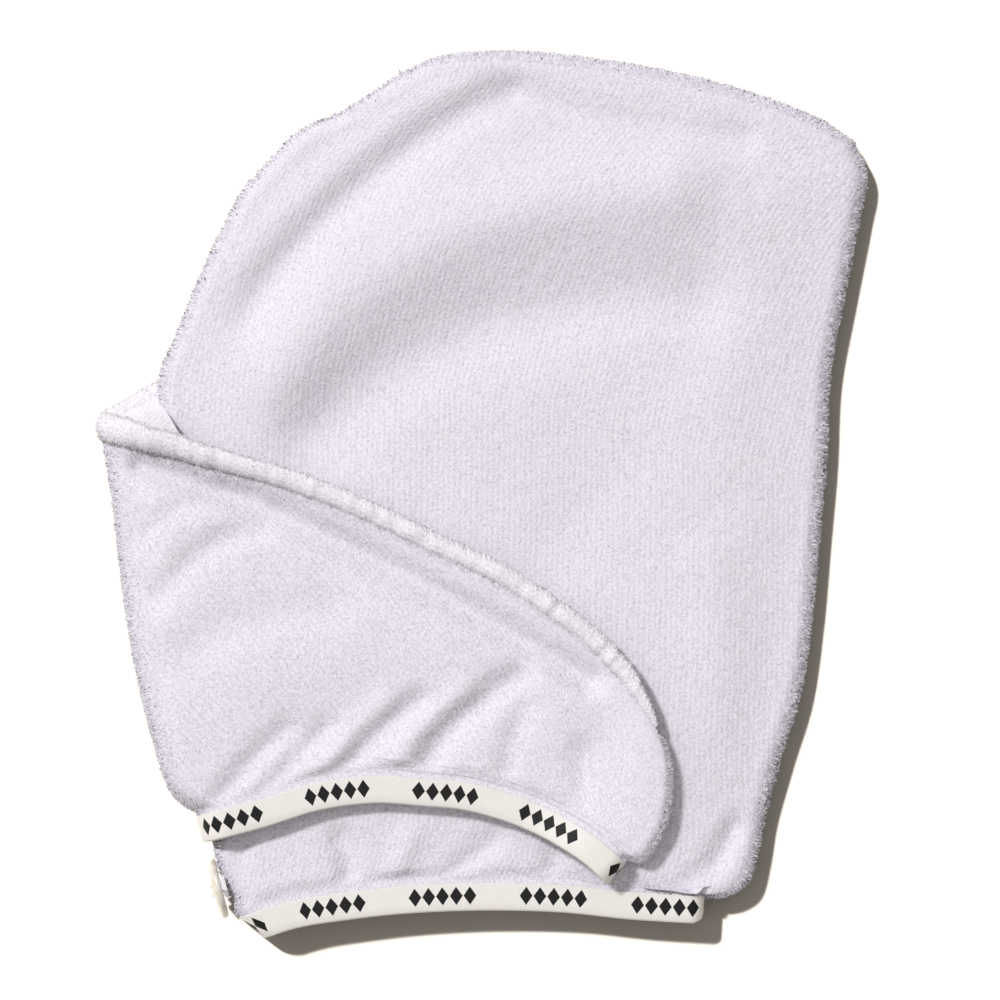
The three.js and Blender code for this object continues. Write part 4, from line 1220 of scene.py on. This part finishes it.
pile = {
    "height": 0.75,  # millimetres that a loop stands out
    "foot": 0.68,  # between its two feet
    "width": 0.36,
    "lean": 0.55,
    "sideLean": 0.6,  # how much of that goes along the arch
    "sizes": (0.7, 1.3),
    "narrowing": 0.8,  # its top against its feet
    "rooted": 0.1,
    "depths": 6,
    "softness": 0.72,  # how far a loop shades like the sheet it stands on
    "skyward": 0.5,  # how far it takes its light from above
    "hoodCount": 47000,
    "flapCount": 36000,
    "hemCount": 9000,
    "underCount": 6000,
    "edgeBoost": 1.6,
    "turnBoost": 1.8,
    "fringeHood": (9000, 1.7),  # loops and their size
    "fringeFlap": (9000, 1.5),
    "liningCount": 900,
    "underFlap": 12,  # how far in under the flap the hood's loops run
    "underCurl": 22,
    "flapBack": 0.3,  # share of loops on the flap's curled back
    "hemUnder": 0.15,
    "hemSize": 0.85,
    "liningSize": 0.7,
    "underFrom": 1.2,  # height from which the lower sheet has loops
    "fringeLines": 5,  # grid lines of a fringe
    "fringeInside": 3,
    "cornerLines": 34,
}


def loopsMesh(name, places, normals, cloth, material, size=1.0):
    # small arches of yarn, each standing on a place and leaning its own way
    count = len(places)
    spin = chance.uniform(0, 2 * math.pi, count)
    helper = np.where(np.abs(normals[:, 2:]) > 0.7, [[1.0, 0, 0]], [[0, 0, 1.0]])
    a = unit(np.cross(normals, helper))
    b = np.cross(normals, a)
    side = a * np.cos(spin)[:, None] + b * np.sin(spin)[:, None]
    cross = np.cross(normals, side)
    scale = (chance.uniform(*pile["sizes"], count) * size)[:, None]
    leaning = chance.normal(0, pile["lean"], (count, 2))
    top = places + scale * pile["height"] * unit(
        normals + side * leaning[:, :1] * pile["sideLean"] + cross * leaning[:, 1:]
    )
    foot, half = scale * pile["foot"] / 2, scale * pile["width"] / 2
    rise, narrow = normals * pile["rooted"], pile["narrowing"]
    points = np.stack([
        places - side * foot - cross * half - rise,
        places - side * foot + cross * half - rise,
        top - cross * half * narrow,
        top + cross * half * narrow,
        places + side * foot - cross * half - rise,
        places + side * foot + cross * half - rise,
    ], 1)
    k = np.arange(count)[:, None] * 6
    faces = []
    for quad in ([2, 3, 1, 0], [4, 5, 3, 2]):
        # each half shows its front to the sky, so that none shades as a back
        corners = points[:, quad]
        facing = np.cross(corners[:, 1] - corners[:, 0], corners[:, 2] - corners[:, 1])
        outside = (facing * normals).sum(-1, keepdims=True) >= 0
        faces.append(k + np.where(outside, quad, quad[::-1]))
    faces, points = np.concatenate(faces), points.reshape(-1, 3)
    piece = meshPiece(name, points, faces, material, np.repeat(cloth, 6, axis=0))
    outwards = unit(np.cross(cross, top - places + side * foot))
    outwards *= np.sign((outwards * normals).sum(-1, keepdims=True) + tiny)
    soft = unit(mix(outwards, normals, pile["softness"]))
    soft = unit(soft + (0, 0, pile["skyward"]))
    piece.data.normals_split_custom_set_from_vertices(np.repeat(soft, 6, axis=0).tolist())
    piece.visible_shadow = False  # light passes through the real yarn
    return piece


def scatter(grid, normals, count, weight):
    # places spread over a grid in keeping with its area and a weight
    across = grid[:-1, 1:] - grid[:-1, :-1]
    along = grid[1:, :-1] - grid[:-1, :-1]
    area = np.linalg.norm(np.cross(across, along), axis=-1) * weight[:-1, :-1]
    share = area / area.sum() * count
    each = np.floor(share + chance.random(share.shape)).astype(int)
    j, i = np.indices(share.shape)
    j, i = np.repeat(j.ravel(), each.ravel()), np.repeat(i.ravel(), each.ravel())
    s, t = chance.random((2, len(j), 1))
    places = grid[j, i] + s * across[j, i] + t * along[j, i]
    cloth = clothOf(grid)[j, i]
    # each loop's own depth in the noise, so its own shade
    cloth[:, 2] += chance.uniform(0, pile["depths"], len(j))
    return places, normals[j, i], cloth


def edgeWeight(shape, rows, columns):
    # more loops where a sheet's own outline shows
    j = np.minimum(np.arange(shape[0]), np.arange(shape[0])[::-1])[:, None]
    i = np.minimum(np.arange(shape[1]), np.arange(shape[1])[::-1])[None, :]
    near = np.maximum(np.exp(-j / rows), np.exp(-i / columns))
    return 1 + pile["edgeBoost"] * near


def hoodLoops():
    grid, normals = upperFace
    weight = edgeWeight(grid.shape, 6, 6)
    weight[:band["rimRows"] - 1] = 0
    top = flapTopCurve.at(evenly(60)) - origin[:2]
    rim = flapBand.edge(evenly(60)) - origin[:2]
    upper = np.interp(grid[..., 0], top[:, 0], top[:, 1]) - pile["underFlap"]
    lower = np.interp(grid[..., 0], rim[:, 0], rim[:, 1]) + pile["underFlap"]
    rightMost = flapFace[0][..., 0].max() - pile["underCurl"]
    hidden = (grid[..., 1] < upper) & (grid[..., 1] > lower) & (grid[..., 0] < rightMost)
    weight[hidden] = 0
    return loopsMesh("hoodLoops", *scatter(grid, normals, pile["hoodCount"], weight), hoodYarn)


def flapLoops():
    grid, normals = flapFace
    weight = np.ones(grid.shape[:2])
    weight[:band["rimRows"] - 1] = 0
    weight[:, :flap["legLines"]] = 0
    weight[:, -flap["legLines"]:] = pile["flapBack"]
    weight[:, turnedLines - 6:turnedLines + 10] *= pile["turnBoost"]
    weight[:, -turnedLines - 8:-turnedLines + 6] *= pile["turnBoost"]
    return loopsMesh("flapLoops", *scatter(grid, normals, pile["flapCount"], weight), flapYarn)


def hemLoops():
    rings = np.concatenate([hemRings, hemRings[:, :1]], 1)
    middle = hemRings.mean(1, keepdims=True)
    normals = unit(rings - middle)
    weight = np.where(normals[..., 2] > 0, 1.0, pile["hemUnder"])
    places = scatter(rings, normals, pile["hemCount"], weight)
    return loopsMesh("hemLoops", *places, hemYarn, pile["hemSize"])


def underLoops():
    grid, normals = underFace
    weight = edgeWeight(grid.shape, 3, 3) - 1
    weight[:band["rimRows"] - 1] = 0
    weight[grid[..., 2] < pile["underFrom"]] = 0
    return loopsMesh("underLoops", *scatter(grid, normals, pile["underCount"], weight), hoodYarn)


def fringe(name, parts, count, size, material):
    # longer loops where an outline shows
    total = sum(grid[..., 0].size for grid, normals in parts)
    found = [
        scatter(grid, normals, count * grid[..., 0].size // total, np.ones(grid.shape[:2]))
        for grid, normals in parts
    ]
    places, normals, cloth = (np.concatenate(column) for column in zip(*found))
    return loopsMesh(name, places, normals, cloth, material, size)


def part(face, rows, columns):
    grid, normals = face
    return grid[rows, columns], normals[rows, columns]


def edgeFringe():
    first, lines, inside = band["rimRows"] - 1, pile["fringeLines"], pile["fringeInside"]
    body, last, turned = slice(first, None), slice(-lines, None), turnedLines
    hoodEdges = [
        part(upperFace, body, slice(0, lines)),
        part(upperFace, body, last),
        part(upperFace, slice(-lines - 1, None), slice(None)),
        part(upperFace, slice(first, first + lines + 1), slice(-pile["cornerLines"], None)),
    ]
    flapEdges = [
        part(flapFace, body, slice(turned - lines, turned + inside)),
        part(flapFace, body, slice(-turned - inside, -turned + lines)),
        part(flapFace, last, slice(turned, -turned)),
    ]
    return (
        fringe("hoodFringe", hoodEdges, *pile["fringeHood"], hoodYarn),
        fringe("flapFringe", flapEdges, *pile["fringeFlap"], flapYarn),
    )


hoodPile, flapPile, hemPile, underPile = hoodLoops(), flapLoops(), hemLoops(), underLoops()
hoodEdge, flapEdge = edgeFringe()
liningPlaces = scatter(*liningFace, pile["liningCount"], np.ones(liningFace[0].shape[:2]))
liningPile = loopsMesh("liningLoops", *liningPlaces, flapYarn, pile["liningSize"])
print("towel: terry loops made")


# Each piece stands for its solid, and that solid is hidden
for piece, node, slot in (
    (hoodUpper, "upper_panel", "terry"),
    (hoodUnder, "under_panel", "terry"),
    (rimBinding, "rim_binding", "elastic"),
    (frontFlap, "front_flap", "terry"),
    (foldLining, "front_flap", "terry"),
    (rolledHem, "rolled_hem", "terry"),
    (flapBinding, "flap_binding", "elastic"),
    (pearlButton, "button", "pearl"),
    (elasticLoop, "button_loop", "elastic"),
):
    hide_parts(node)
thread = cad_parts["button_thread"]
thread.data.materials.clear()
thread.data.materials.append(cotton)


stageSet = {
    "floorSize": 6.0,
    "floorDrop": 0.0004,
    "floor": (0.35, 0.325, 0.29, 1),  # its own sun makes it white, and its shadows stay dark
    "sensor": 36,
    "cameraHeight": 2.4,
    "pictureWidth": 0.36008,
    "pictureLevel": 0.012,
    "lookAt": (0.00642, -0.0018),
    "sunFrom": (-0.62, 0.60, 1.0),
    "sunAngle": 3.0,
    "softAngle": 7.0,
    "keyStrength": 2.15,
    "floorStrength": 9.8,
    "fillStrength": 1.5,
    "fillAngle": 130,
    "fillFrom": (-0.25, 0.25, 1),
    "ambient": (0.092, 0.078, 0.057, 1),
}


def makeStage():
    look = stageSet
    bpy.ops.mesh.primitive_plane_add(size=look["floorSize"], location=(0, 0, -look["floorDrop"]))
    floor = bpy.context.object
    floor.name = "floor"
    paper = Finish("paper", {"Roughness": 0.9, "Base Color": look["floor"]})
    floor.data.materials.append(paper.material)
    return floor


def makeSun(name, strength, angle, direction, only=None):
    lamp = bpy.data.lights.new(name, "SUN")
    lamp.energy, lamp.angle = strength, math.radians(angle)
    sun = bpy.data.objects.new(name, lamp)
    sun.rotation_mode = "QUATERNION"
    sun.rotation_quaternion = Vector(direction).to_track_quat("Z", "Y")
    sun.location = Vector(direction).normalized() * 2
    bpy.context.scene.collection.objects.link(sun)
    if only:
        group = bpy.data.collections.new(name + "Receivers")
        group.objects.link(only)
        sun.light_linking.receiver_collection = group


def makeLights(floor):
    look = stageSet
    makeSun("keySun", look["keyStrength"], look["softAngle"], look["sunFrom"])
    makeSun("floorSun", look["floorStrength"], look["sunAngle"], look["sunFrom"], floor)
    makeSun("softFill", look["fillStrength"], look["fillAngle"], look["fillFrom"])
    world = bpy.data.worlds.new("room")
    world.use_nodes = True
    world.node_tree.nodes["Background"].inputs["Color"].default_value = look["ambient"]
    world.node_tree.nodes["Background"].inputs["Strength"].default_value = 1.0
    bpy.context.scene.world = world


def makeCamera():
    look = stageSet
    lens = bpy.data.cameras.new("camera")
    lens.sensor_width = look["sensor"]
    away = look["cameraHeight"] - look["pictureLevel"]
    lens.lens = look["sensor"] * away / look["pictureWidth"]
    camera = bpy.data.objects.new("camera", lens)
    camera.location = (*look["lookAt"], look["cameraHeight"])
    bpy.context.scene.collection.objects.link(camera)
    bpy.context.scene.camera = camera


floor = makeStage()
makeLights(floor)
makeCamera()
bpy.context.scene.view_settings.view_transform = "Standard"
print("towel: stage, lights and camera made")
